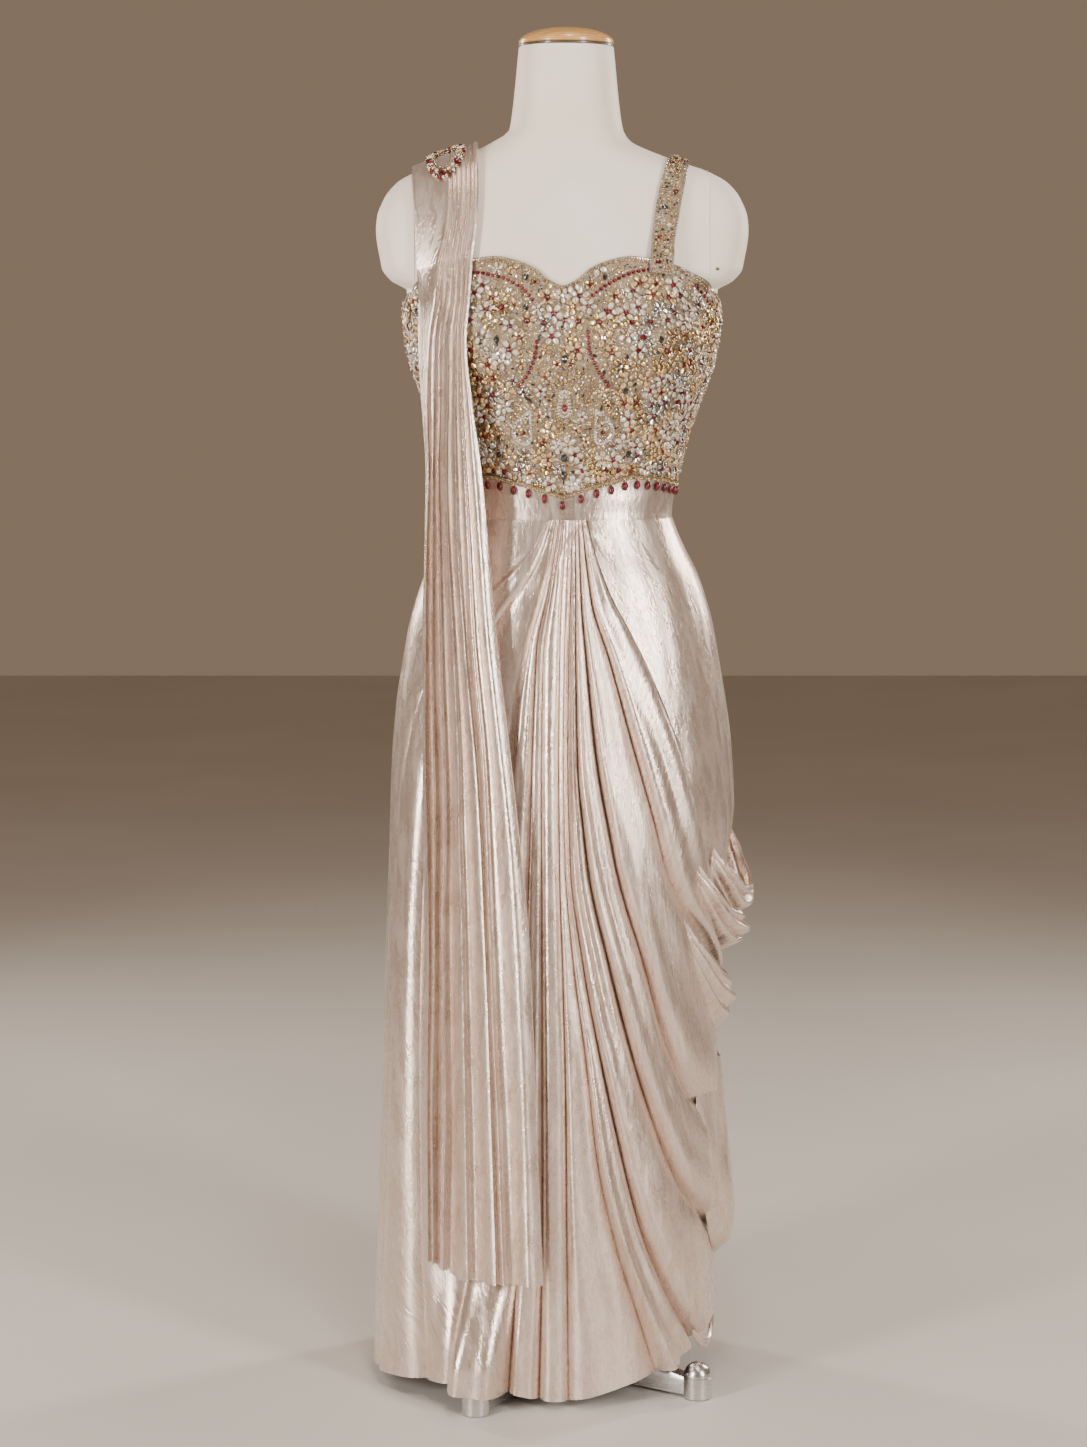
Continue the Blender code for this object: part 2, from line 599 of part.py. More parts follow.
def bead_edging(coat):
    """The strip along the bodice hem, with the bead drops that hang from it."""
    columns = DROPS * 2 + 1
    turn = np.linspace(-CLOSURE_TURN, CLOSURE_TURN, columns)
    hem = read(BODICE_HEM, "height", "turn", np.abs(turn))
    shape = np.array([0.0, 1.0])
    drop = np.append(np.tile(shape, DROPS), 0.0)
    falls = (0.0, EDGING_STRIP + 0.55 * DROP_LENGTH, EDGING_STRIP + DROP_LENGTH)
    inner, outer = [], []
    start = EASE + BEADED + BOSS + SEAM
    for level, fall in enumerate(falls):
        below = min(fall, EDGING_STRIP) + max(fall - EDGING_STRIP, 0.0) * drop + 0.0002 * level
        bulge = DROP_BULGE * drop if level == 1 else 0.0 * drop
        height = hem + EDGING_STRIP * 0.5 - below
        inner.append(surface(FIGURE, turn, height, start))
        outer.append(surface(FIGURE, turn, height, start + 0.0016 + bulge))
    wall("bead_drop_edging", np.array(inner), np.array(outer), coat)


def fold_lines(shares):
    """The turn, height and place of each fold's valley, at shares of its length."""
    turns, heights = [], []
    for fold in FOLDS:
        across = np.array([place[0] for place in fold.route])
        height = np.array([place[1] for place in fold.route])
        turn = turn_at(SKIRT, across, height)
        steps = np.linalg.norm(np.diff(ring(SKIRT, turn, height), axis=0), axis=1)
        length = np.concatenate([[0.0], np.cumsum(steps)])
        turns.append(smooth_curve(length / length[-1], turn, shares))
        heights.append(smooth_curve(length / length[-1], height, shares))
    return np.array(turns), np.array(heights)


def drape_grid(rows, finer=1):
    """Turn, height and rise of the front drape, a column for each line along its folds."""
    shares = np.linspace(0, 1, rows) ** 1.2
    turns, heights = fold_lines(shares)
    places = ring(SKIRT, turns, heights)
    columns = []
    for index, fold in enumerate(FOLDS[:-1]):
        rise = smooth_curve((0, 0.45, 1), (fold.top, fold.middle, fold.end), shares)
        flare = np.clip((FLARE_TOP - heights[index]) / (FLARE_TOP - FLARE_FULL), 0, 1)
        flare = flare * flare * (3 - 2 * flare)
        if fold.name == "first pleat":
            rise = 0.012 + (fold.end - 0.012) * flare
        width = np.linalg.norm(places[index + 1] - places[index], axis=-1)
        if fold.name != "first pleat":
            rise = np.minimum(rise, STEEPEST * width)
        lift = [each.lift * (flare if each.name in FLARED else 1.0)
                for each in FOLDS[index:index + 2]]
        for step in range(fold.columns * finer):
            s = step / (fold.columns * finer)
            bump = np.sin(np.pi * s) ** 0.8
            columns.append((turns[index] + (turns[index + 1] - turns[index]) * s,
                            heights[index] + (heights[index + 1] - heights[index]) * s,
                            rise * bump + lift[0] * (1 - s) + lift[1] * s))
    columns.append((turns[-1], heights[-1], FOLDS[-1].lift + 0 * shares))
    grid = np.array(columns)
    return grid[:, 0].T, grid[:, 1].T, grid[:, 2].T


def front_drape(coat):
    """The pleated front that fans out from the knot at the waist."""
    turn, height, rise = drape_grid(DRAPE_ROWS)
    height = np.minimum(height, SKIRT_TOP)
    wall("skirt_front_drape", surface(SKIRT, turn, height, rise),
         surface(SKIRT, turn, height, rise + CLOTH), coat)


def hip_panel(coat):
    """The plain panel over the wearer's left hip, between the drape's edge and the side seam."""
    shares = np.linspace(0, 1, 60)
    turns, heights = fold_lines(shares)
    edge_turn, edge_height = turns[-1][::-1], heights[-1][::-1]
    height = np.linspace(SKIRT_TOP, 0.545, 15)[:, None]
    start = np.interp(height, edge_height, edge_turn) + 0.9
    share = np.linspace(0, 1, 9)[None, :]
    turn = start + (SEAM_TURN - start) * share
    height = height + 0 * share
    wall("skirt_hip_panel", surface(SKIRT, turn, height), surface(SKIRT, turn, height, CLOTH), coat)


def back_panel(name, start, stop, hem_start, hem_stop, coat):
    """Half of the skirt's back, with soft folds that deepen towards the hem."""
    share = np.linspace(0, 1, 13)[None, :]
    down = np.linspace(0, 1, 11)[:, None]
    turn = start + (stop - start) * share + 0 * down
    hem = hem_start + (hem_stop - hem_start) * share
    height = SKIRT_TOP - (SKIRT_TOP - hem) * down
    waves = 0.5 - 0.5 * np.cos(2 * np.pi * 3 * share)
    rise = 0.011 * waves * down**1.5
    wall(name, surface(SKIRT, turn, height, rise), surface(SKIRT, turn, height, rise + CLOTH), coat)


def inside_figure(points):
    """Below 1 inside the form and above 1 outside."""
    x, y, height = points[..., 0], points[..., 1], points[..., 2]
    half, depth = extents(FIGURE, x, y, height)
    wide = np.abs(x) / half
    deep = np.abs(y) / depth
    plain = np.maximum(wide**ROUNDNESS + deep**ROUNDNESS, 1e-9)
    turn = np.degrees(np.arctan2(wide ** (ROUNDNESS / 2), -np.sign(y) * deep ** (ROUNDNESS / 2)))
    radius = np.hypot(x, y) / plain ** (1 / ROUNDNESS)
    grown = 1 + (bust(turn, height) + arm_stub(turn, height)) / np.maximum(radius, 1e-6)
    return plain / grown**ROUNDNESS


def over_shoulder(across, lean, out):
    """A point over the shoulder: lean is 0 straight up, 90 to the front and -90 to the back."""
    across, lean = np.broadcast_arrays(np.asarray(across, float), np.asarray(lean, float))
    angle = np.radians(lean)
    direction = np.stack([0 * angle, -np.sin(angle), np.cos(angle)], axis=-1)
    start = np.stack([across, 0 * across, SHOULDER_HEIGHT + 0 * across], axis=-1)
    near = np.zeros(across.shape)
    far = np.full(across.shape, 0.25)
    for _ in range(30):
        middle = (near + far) / 2
        within = inside_figure(start + direction * middle[..., None]) < 1
        near = np.where(within, middle, near)
        far = np.where(within, far, middle)
    place = start + direction * near[..., None]
    step = 0.0005
    slope = np.stack([inside_figure(place + step * axis) - inside_figure(place - step * axis)
                      for axis in np.eye(3)], axis=-1)
    out = np.broadcast_to(out, across.shape)[..., None]
    return place + out * unit(slope)


def pleat_columns(ridges, edges, rise):
    """Places across a row of pleats, and how far each stands out, between its two edges."""
    across = [edges[0] + (ridges[0] - edges[0]) * s for s in (0.0, 0.36, 0.7)]
    high = [0.0, 0.25 * rise, 0.5 * rise]
    for near, far in zip(ridges[:-1], ridges[1:]):
        depth = np.minimum(rise, STEEPEST * 1.1 * (far - near))
        for s, share in ((0.0, 0.0), (0.36, 0.9), (0.66, 0.9)):
            across.append(near + (far - near) * s)
            high.append(rise - depth * share)
    across += [ridges[-1], 0.4 * ridges[-1] + 0.6 * edges[1], edges[1]]
    high += [rise, 0.75 * rise, 0.2 * rise]
    return np.stack(across, axis=1), np.stack([0 * rise + each for each in high], axis=1)


def pallu(coat):
    """The pleated length over the wearer's right shoulder, from the back down to its hem."""
    lean = np.array([-106, -93, -80, -66, -54, -44, -35, -27, -17, -6, 6, 18, 30, 42, 54, 66.0])
    row = {name: read(PALLU_SHOULDER, name, "lean", lean) for name in Lean._fields[1:]}
    ridges = [row["first"] + (row["last"] - row["first"]) * s for s in np.linspace(0, 1, 7)]
    across, high = pleat_columns(ridges, (row["left"], row["right"]), row["rise"])
    over_bodice = ((-106, BODICE_CLEARANCE), (-92, BODICE_CLEARANCE), (-66, PALLU_GAP),
                   (40, PALLU_GAP), (66, BODICE_CLEARANCE))
    clearance = smooth_curve([stop[0] for stop in over_bodice], [stop[1] for stop in over_bodice],
                             lean)[:, None]
    inside = over_shoulder(across, lean[:, None], clearance)
    outside = over_shoulder(across, lean[:, None], clearance + high + CLOTH)
    share = np.linspace(0, 1, 12)
    nominal = 1.270 + (PALLU_HANG[0].height - 1.270) * share
    row = {name: read(PALLU_HANG, name, "height", nominal) for name in Hang._fields[1:]}
    ridges = [row["p" + str(number)] for number in range(1, 8)]
    across, high = pleat_columns(ridges, (row["left"], row["right"]), row["rise"])
    hem = np.interp(across[-1], [place[0] for place in PALLU_HEM], [place[1] for place in PALLU_HEM])
    height = 1.270 + (hem[None, :] - 1.270) * share[:, None]
    place = (across - across[:, :1]) / (across[:, -1:] - across[:, :1])
    y = row["y_left"][:, None] + (row["y_right"] - row["y_left"])[:, None] * place
    y = y - PALLU_BOW * np.sin(np.pi * place)
    hang_in = np.stack([across, y, height], axis=-1)
    hang_out = np.stack([across, y - high - CLOTH, height], axis=-1)
    wall("pallu", np.concatenate([inside, hang_in]), np.concatenate([outside, hang_out]), coat)


def shoulder_strap(coat):
    """The beaded strap on the wearer's left shoulder."""
    lean = np.linspace(STRAP[0].lean, STRAP[-1].lean, 21)
    backwards = STRAP[::-1]
    centre = read(backwards, "across", "lean", lean)
    width = read(backwards, "width", "lean", lean)
    share = np.linspace(-0.5, 0.5, 5)
    across = centre[:, None] + width[:, None] * share[None, :]
    row, column = np.indices(across.shape)
    raised = BOSS * ((row + column) % 2)
    out = read(backwards, "out", "lean", lean)[:, None]
    inside = over_shoulder(across, lean[:, None], out)
    outside = over_shoulder(across, lean[:, None], out + CLOTH + raised)
    wall("shoulder_strap_left", inside, outside, coat)


def shoulder_patch(coat):
    """An oval ring of large beads over the pallu, on the wearer's right shoulder."""
    angle = np.radians(np.arange(0, 360, 18))
    out = PALLU_GAP + CLOTH + PALLU_SHOULDER[3].rise + PATCH_BEAD + SEAM
    places = over_shoulder(PATCH_ACROSS + PATCH_HALF_WIDTH * np.cos(angle),
                           PATCH_LEAN + PATCH_HALF_LEAN * np.sin(angle), out)
    curve = bpy.data.curves.new("shoulder_patch", "CURVE")
    curve.dimensions = "3D"
    curve.bevel_depth = PATCH_BEAD
    curve.bevel_resolution = 1
    line = curve.splines.new("POLY")
    line.points.add(len(places) - 1)
    for number, (point, place) in enumerate(zip(line.points, places)):
        point.co = (*place, 1.0)
        point.radius = 1.0 - 0.16 * (number % 2)
    line.use_cyclic_u = True
    curve.materials.append(coat)
    collection.objects.link(bpy.data.objects.new("shoulder_patch", curve))


def side_drape(drape, coat):
    """A loop of cloth over the side of the skirt, seated at its ends and open along its top."""
    across = np.linspace(0, 1, 11)[None, :]
    down = np.linspace(0, 1, 8 if drape.depth > 0.1 else 6)[:, None]
    arch = np.sin(np.pi * across)
    turn = drape.front + (drape.back - drape.front) * across + 0 * down
    rim = drape.front_height + (drape.back_height - drape.front_height) * across - drape.sag * arch
    height = rim - drape.depth * down * (0.4 + 0.6 * arch)
    shape = smooth_curve([stop[0] for stop in drape.profile], [stop[1] for stop in drape.profile],
                         down)
    seat = drape.front_seat + (drape.back_seat - drape.front_seat) * across
    out = seat + drape.bulge * arch**0.8 * shape
    wall(drape.name, surface(SKIRT, turn, height, out), surface(SKIRT, turn, height, out + CLOTH),
         coat)


def build():
    """Every piece of the gown and the form."""
    jersey = material("Foil jersey", (0.72, 0.60, 0.53), 0.34, 0.65)
    beadwork = material("Beadwork", (0.66, 0.52, 0.38), 0.40, 0.55)
    drops = material("Garnet beads", (0.30, 0.01, 0.03), 0.18, 0.0)
    canvas = material("Form canvas", (0.80, 0.74, 0.66), 0.80, 0.0)
    wood = material("Cap wood", (0.62, 0.35, 0.12), 0.35, 0.0)
    dark = material("Cap rim", (0.10, 0.06, 0.04), 0.50, 0.0)
    steel = material("Stand steel", (0.62, 0.60, 0.58), 0.28, 1.0)
    form_body(canvas)
    form_cap(dark, wood)
    stand(steel)
    bodice(beadwork)
    waistband(jersey)
    bead_edging(drops)
    front_drape(jersey)
    hip_panel(jersey)
    back_panel("skirt_back_left", SEAM_TURN + 0.2, CLOSURE_TURN, 0.046, 0.010, jersey)
    back_panel("skirt_back_right", -SEAM_TURN - 0.2, -CLOSURE_TURN, 0.012, 0.010, jersey)
    pallu(jersey)
    shoulder_strap(beadwork)
    shoulder_patch(beadwork)
    for drape in SIDE_DRAPES:
        side_drape(drape, jersey)


clear_scene()
collection = new_collection("Saree gown")
helpers = new_collection("Helpers")
build()
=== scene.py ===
"""The looks of a saree gown on a limbless dress form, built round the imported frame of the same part.

Metres, +Z up. The front faces -Y, the wearer's left is at +X and the floor is at z = 0.
A turn is an angle round the body in degrees: 0 at the centre front, 90 at the wearer's left.
"""

from collections import namedtuple

import bpy
import numpy as np
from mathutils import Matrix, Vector
from mathutils.kdtree import KDTree


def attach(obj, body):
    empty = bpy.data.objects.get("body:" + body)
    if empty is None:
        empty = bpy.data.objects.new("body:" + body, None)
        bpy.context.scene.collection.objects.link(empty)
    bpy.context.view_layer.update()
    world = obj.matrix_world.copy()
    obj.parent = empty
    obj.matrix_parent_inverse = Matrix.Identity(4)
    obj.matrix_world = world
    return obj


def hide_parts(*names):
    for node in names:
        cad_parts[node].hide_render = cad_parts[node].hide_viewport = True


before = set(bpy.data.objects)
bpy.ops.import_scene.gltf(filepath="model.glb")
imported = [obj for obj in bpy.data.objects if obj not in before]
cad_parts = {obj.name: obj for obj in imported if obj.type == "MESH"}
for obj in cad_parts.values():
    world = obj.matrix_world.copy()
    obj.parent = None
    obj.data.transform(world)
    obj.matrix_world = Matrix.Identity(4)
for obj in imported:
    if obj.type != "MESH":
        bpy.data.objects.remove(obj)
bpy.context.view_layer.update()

CLOTH = 0.0022  # from the inside to the outside of the cloth walls of the frame
BEADED = 0.0024  # the same for the beaded panels, before their beads
EASE = 0.0018  # space between the form and the cloth that fits it
SEAM = 0.0003  # space between two pieces that are sewn together
FINE = 0.0012  # thickness of the cloth that is drawn here
ROUNDNESS = 2.25  # power of the rounded oval that every level section is
SEAM_TURN = 96.0  # turn of the side seams of the skirt
CLOSURE_TURN = 179.9  # turn at which the back pieces end, each side of the centre back
STEEPEST = 0.42  # greatest rise of a fold as a share of its width
NOISE_SIZE = 64  # cells before the noise repeats
THIN = 0.0010  # thickness of the band and of the side drapes
SKIRT_ARC = 0.0033  # about how far round the skirt a degree of turn is

Section = namedtuple("Section", "height left right front back")


def even(height, half, front, back):
    """A level section as wide to the left as to the right."""
    return Section(height, half, half, front, back)


# Level sections of the form, from its underside to the top of its neck
NECK_SHIFT = 0.0045  # the neck stands this far towards the wearer's left
FIGURE = (
    even(0.795, 0.150, 0.086, 0.102),
    even(0.812, 0.166, 0.099, 0.117),
    even(0.860, 0.1735, 0.106, 0.124),
    even(0.900, 0.169, 0.107, 0.122),
    even(0.945, 0.154, 0.105, 0.113),
    even(0.985, 0.136, 0.099, 0.098),
    even(1.020, 0.1235, 0.094, 0.085),
    even(1.050, 0.1265, 0.094, 0.081),
    even(1.100, 0.1375, 0.101, 0.084),
    even(1.150, 0.1535, 0.112, 0.089),
    even(1.200, 0.171, 0.122, 0.095),
    even(1.235, 0.1775, 0.122, 0.099),
    even(1.283, 0.180, 0.113, 0.101),
    even(1.306, 0.184, 0.108, 0.101),
    even(1.340, 0.190, 0.097, 0.098),
    even(1.365, 0.192, 0.088, 0.093),
    even(1.386, 0.190, 0.080, 0.088),
    even(1.402, 0.183, 0.073, 0.083),
    even(1.414, 0.168, 0.067, 0.078),
    even(1.426, 0.138, 0.061, 0.073),
    even(1.438, 0.104, 0.057, 0.069),
    even(1.450, 0.079, 0.0555, 0.066),
    Section(1.462, 0.0615, 0.0705, 0.0560, 0.0660),
    Section(1.480, 0.0580, 0.0670, 0.0550, 0.0620),
    Section(1.556, 0.0500, 0.0590, 0.0545, 0.0545),
)
# Level sections that the skirt hangs round, from the floor up
SKIRT = (
    Section(0.000, 0.2205, 0.1620, 0.1490, 0.1865),
    Section(0.120, 0.2170, 0.1660, 0.1460, 0.1790),
    Section(0.250, 0.2120, 0.1710, 0.1420, 0.1690),
    Section(0.380, 0.2070, 0.1750, 0.1370, 0.1590),
    Section(0.500, 0.2030, 0.1775, 0.1320, 0.1500),
    Section(0.560, 0.2010, 0.1810, 0.1295, 0.1460),
    Section(0.620, 0.1990, 0.1900, 0.1270, 0.1420),
    Section(0.680, 0.1970, 0.1975, 0.1240, 0.1385),
    Section(0.740, 0.1940, 0.1945, 0.1210, 0.1360),
    Section(0.800, 0.1890, 0.1885, 0.1180, 0.1330),
    Section(0.860, 0.1800, 0.1800, 0.1150, 0.1300),
    Section(0.900, 0.1725, 0.1725, 0.1125, 0.1260),
    Section(0.945, 0.1585, 0.1585, 0.1095, 0.1170),
    Section(0.985, 0.1400, 0.1400, 0.1030, 0.1015),
    Section(1.020, 0.1265, 0.1265, 0.0967, 0.0880),
)

# What stands out beyond the form's sections: the cups and the stubs of the arms
BUST_HEIGHT = 1.215
BUST_RISE = 0.009
CUP_TURN = 30  # turn of the middle of a cup
CUP_SPREAD = 17
CUP_DEPTH = 0.045
Stub = namedtuple("Stub", "height rise")
ARM_STUB = (
    Stub(1.282, 0.0),
    Stub(1.292, 0.017),
    Stub(1.306, 0.0245),
    Stub(1.340, 0.0245),
    Stub(1.365, 0.0215),
    Stub(1.386, 0.0150),
    Stub(1.402, 0.0090),
    Stub(1.414, 0.0040),
    Stub(1.426, 0.0),
)
ARM_STUB_START = 46.0  # turn at which the stub of the arm begins to stand out
ARM_STUB_FULL = 73.0

# Edges of the bodice, as heights read at turns round one side
Edge = namedtuple("Edge", "turn height")
NECKLINE = (
    Edge(0, 1.281),
    Edge(4, 1.289),
    Edge(8, 1.3015),
    Edge(14, 1.310),
    Edge(21, 1.3145),
    Edge(30, 1.312),
    Edge(42, 1.305),
    Edge(52, 1.296),
    Edge(62, 1.287),
    Edge(75, 1.275),
    Edge(90, 1.263),
    Edge(120, 1.252),
    Edge(180, 1.249),
)
BODICE_HEM = (
    Edge(0, 1.044),
    Edge(6, 1.050),
    Edge(14, 1.0565),
    Edge(24, 1.062),
    Edge(34, 1.0675),
    Edge(50, 1.066),
    Edge(75, 1.060),
    Edge(110, 1.058),
    Edge(180, 1.058),
)
Princess = namedtuple("Princess", "height turn")
PRINCESS_SEAM = (
    Princess(1.040, 28),
    Princess(1.120, 21),
    Princess(1.170, 17),
    Princess(1.230, 12),
    Princess(1.320, 12),
)
UNDERARM_TURN = 94.0
WAIST_SEAM = 1.020
SKIRT_TOP = 1.018
Band = namedtuple("Band", "name start stop cut")
WAISTBANDS = (
    Band("waistband_front_right", -96, 4.4, (0.21, 0.045)),
    Band("waistband_front_left", 4.64, 96, (0.185, 0.045)),
    Band("waistband_back", 96.5, 263.5, (0.325, 0.038)),
)

# Folds of the front drape. Each row is the valley beside a fold, by places (across, height) from
# the knot down; SIDE is the side seam. The rises are those of the fold that follows the valley.
SIDE = 9.0
Fold = namedtuple("Fold", "name top middle end lift route")
FOLDS = (
    Fold("side seam", 0.002, 0.004, 0.003, 0.0,
         ((-SIDE, 1.02), (-SIDE, 0.94), (-SIDE, 0.86), (-SIDE, 0.74), (-SIDE, 0.50), (-SIDE, 0.25),
          (-SIDE, 0.012))),
    Fold("hip ease", 0.002, 0.009, 0.011, 0.0,
         ((-0.016, 1.02), (-0.042, 0.978), (-0.080, 0.940), (-0.130, 0.880), (-0.170, 0.79),
          (-0.188, 0.65), (-0.197, 0.40), (-0.212, 0.014))),
    Fold("long ease", 0.002, 0.006, 0.006, 0.0,
         ((-0.012, 1.02), (-0.030, 0.968), (-0.073, 0.905), (-0.120, 0.82), (-0.150, 0.71),
          (-0.162, 0.53), (-0.164, 0.29), (-0.156, 0.022))),
    Fold("first pleat", 0.003, 0.010, 0.048, 0.020,
         ((-0.007, 1.02), (-0.021, 0.94), (-0.037, 0.882), (-0.048, 0.82), (-0.056, 0.75),
          (-0.070, 0.63), (-0.084, 0.47), (-0.102, 0.235), (-0.122, 0.026))),
    Fold("second pleat", 0.003, 0.009, 0.014, 0.010,
         ((-0.003, 1.02), (-0.017, 0.935), (-0.029, 0.875), (-0.033, 0.79), (-0.036, 0.69),
          (-0.040, 0.55), (-0.046, 0.35), (-0.053, 0.14), (-0.060, 0.020))),
    Fold("third pleat", 0.003, 0.010, 0.016, 0.0,
         ((0.0005, 1.02), (-0.012, 0.935), (-0.022, 0.86), (-0.024, 0.75), (-0.0235, 0.60),
          (-0.023, 0.40), (-0.023, 0.2), (-0.0265, 0.010))),
    Fold("centre pleat", 0.003, 0.006, 0.012, 0.0,
         ((0.004, 1.02), (-0.001, 0.93), (-0.003, 0.86), (-0.004, 0.75), (-0.003, 0.63),
          (0.001, 0.49), (0.004, 0.35), (0.005, 0.2), (0.007, 0.008))),
    Fold("low sweep", 0.003, 0.008, 0.013, 0.0,
         ((0.0075, 1.02), (0.004, 0.93), (0.002, 0.86), (0.001, 0.75), (0.003, 0.63),
          (0.013, 0.51), (0.026, 0.41), (0.040, 0.285), (0.060, 0.19), (0.084, 0.11),
          (0.106, 0.034))),
    Fold("long sweep", 0.003, 0.009, 0.013, 0.0,
         ((0.011, 1.02), (0.009, 0.93), (0.007, 0.86), (0.006, 0.75), (0.009, 0.63),
          (0.024, 0.51), (0.042, 0.41), (0.068, 0.285), (0.088, 0.205), (0.114, 0.13),
          (0.144, 0.060))),
    Fold("knee sweep", 0.003, 0.012, 0.012, 0.0,
         ((0.0145, 1.02), (0.015, 0.93), (0.015, 0.86), (0.017, 0.75), (0.028, 0.63),
          (0.053, 0.51), (0.079, 0.405), (0.110, 0.305), (0.134, 0.245), (0.157, 0.205),
          (SIDE, 0.150))),
    Fold("thigh sweep", 0.003, 0.012, 0.005, 0.0,
         ((0.018, 1.02), (0.021, 0.93), (0.027, 0.86), (0.038, 0.75), (0.059, 0.63),
          (0.092, 0.51), (0.116, 0.42), (0.141, 0.356), (0.164, 0.325), (SIDE, 0.28))),
    Fold("hip sweep", 0.003, 0.010, 0.004, 0.0,
         ((0.0215, 1.02), (0.032, 0.93), (0.053, 0.86), (0.083, 0.75), (0.112, 0.64),
          (0.133, 0.580), (0.160, 0.535), (SIDE, 0.47))),
    Fold("top edge", 0.0, 0.0, 0.0, 0.004,
         ((0.025, 1.02), (0.0475, 0.945), (0.0905, 0.86), (0.125, 0.776), (0.154, 0.673),
          (0.171, 0.59), (SIDE, 0.50))),
)
FLARED = ("first pleat", "second pleat")  # these swing out over the front foot
FLARE_TOP = 0.170  # height at which they start to
FLARE_FULL = 0.050  # and height at which they are fully out
FIRST_PLEAT = 0.012  # rise of the first pleat above that
FOLD_ROUNDNESS = 0.62  # lower is rounder
# Share of a fold's width at which it stands highest. The other folds take SWEEP_CREST.
CREST = {"side seam": 0.5, "hip ease": 0.5, "long ease": 0.55, "first pleat": 0.5,
         "second pleat": 0.5, "third pleat": 0.45}
SWEEP_CREST = 0.20  # share of a sweeping fold's width at which it stands highest
SWEEP_GROWTH = 1.35  # how much deeper the sweeping folds are drawn than on the frame
FOLD_STEPS = (0.0, 0.03, 0.07, 0.12, 0.17, 0.22, 0.28, 0.36, 0.45, 0.55, 0.66, 0.77, 0.87, 0.95)
PLAIN_STEPS = tuple(step / 14 for step in range(14))
STEEP = 0.62  # steepest a fold rises for its width here
KNOT_TURN = 6.0
KNOT_HEIGHT = 1.016
KNOT_ARC = 0.0026  # about how far round the waist a degree of turn is
HIP_BOTTOM = 0.545  # lower end of the hip panel
BACK_FOLDS = 3  # soft folds on each half of the back
BACK_RIPPLES = 11
BACK_RISE = 0.011  # how far those folds stand out at the hem

# The pallu: seven pleat ridges between its two edges, on the shoulder by lean and then by height
PALLU_GAP = 0.0048
BODICE_CLEARANCE = 0.0055
Lean = namedtuple("Lean", "lean left first last right rise")
PALLU_SHOULDER = (
    Lean(-106, -0.156, -0.123, -0.101, -0.098, 0.0018),
    Lean(-84, -0.158, -0.124, -0.100, -0.097, 0.0018),
    Lean(-60, -0.163, -0.127, -0.099, -0.096, 0.0020),
    Lean(-35, -0.167, -0.1285, -0.097, -0.0945, 0.0022),
    Lean(0, -0.170, -0.1285, -0.0965, -0.094, 0.0024),
    Lean(32, -0.166, -0.1265, -0.0965, -0.0935, 0.0026),
    Lean(66, -0.162, -0.1360, -0.1020, -0.0985, 0.0028),
)
Hang = namedtuple("Hang", "height left p1 p2 p3 p4 p5 p6 p7 right y_left y_right rise")
PALLU_HANG = (
    Hang(0.150, -0.1615, -0.1545, -0.1475, -0.137, -0.1085, -0.0755, -0.0675, -0.0375, -0.0215,
         -0.128, -0.179, 0.014),
    Hang(0.308, -0.162, -0.1555, -0.149, -0.135, -0.111, -0.081, -0.073, -0.041, -0.0285,
         -0.113, -0.163, 0.013),
    Hang(0.526, -0.159, -0.1525, -0.146, -0.1345, -0.114, -0.0885, -0.081, -0.050, -0.0365,
         -0.103, -0.152, 0.011),
    Hang(0.715, -0.160, -0.1565, -0.145, -0.133, -0.1175, -0.0975, -0.0885, -0.0645, -0.0545,
         -0.095, -0.142, 0.009),
    Hang(0.889, -0.1595, -0.156, -0.148, -0.1385, -0.125, -0.112, -0.101, -0.0835, -0.0745,
         -0.087, -0.130, 0.007),
    Hang(1.066, -0.156, -0.1525, -0.1478, -0.1405, -0.132, -0.120, -0.1095, -0.0985, -0.0905,
         -0.078, -0.124, 0.005),
    Hang(1.143, -0.160, -0.1545, -0.146, -0.138, -0.1305, -0.121, -0.113, -0.1045, -0.100,
         -0.073, -0.1238, 0.004),
    Hang(1.219, -0.164, -0.151, -0.144, -0.137, -0.1295, -0.121, -0.1145, -0.1105, -0.1075,
         -0.067, -0.1222, 0.003),
    Hang(1.270, -0.163, -0.143, -0.136, -0.1295, -0.1233, -0.1166, -0.111, -0.107, -0.1035,
         -0.068, -0.115, 0.003),
)
PALLU_HEM = ((-0.165, 0.174), (-0.145, 0.166), (-0.120, 0.153), (-0.06, 0.152), (-0.02, 0.153))
PALLU_BOW = 0.010
PALLU_FALL = 1.270  # height at which it leaves the shoulder and starts to hang

# The strap: its centre line over the shoulder by lean, front first
Strap = namedtuple("Strap", "lean across width out")
STRAP = (
    Strap(75, 0.1085, 0.026, 0.0058),
    Strap(64, 0.1100, 0.025, 0.0056),
    Strap(50, 0.1130, 0.025, 0.0024),
    Strap(36, 0.1180, 0.026, 0.0022),
    Strap(0, 0.1350, 0.022, 0.0022),
    Strap(-36, 0.1300, 0.024, 0.0022),
    Strap(-78, 0.1150, 0.024, 0.0024),
    Strap(-94, 0.1090, 0.026, 0.0056),
    Strap(-106, 0.1060, 0.026, 0.0058),
)
SHOULDER_HEIGHT = 1.27  # height of the line that the leans are measured round

PATCH_ACROSS = -0.130
PATCH_HALF_WIDTH = 0.0195
PATCH_LEAN = 13.0
PATCH_HALF_LEAN = 14.0
PATCH_SHARE = 0.80  # share of that length that the beads cover
PATCH_GARNET = 0.62  # place of the single garnet, as a share of the half length
ALONG_PATCH = [1, 0, 0.01]

DROPS = 48
DROP_LENGTH = 0.0125
EDGING_STRIP = 0.0040


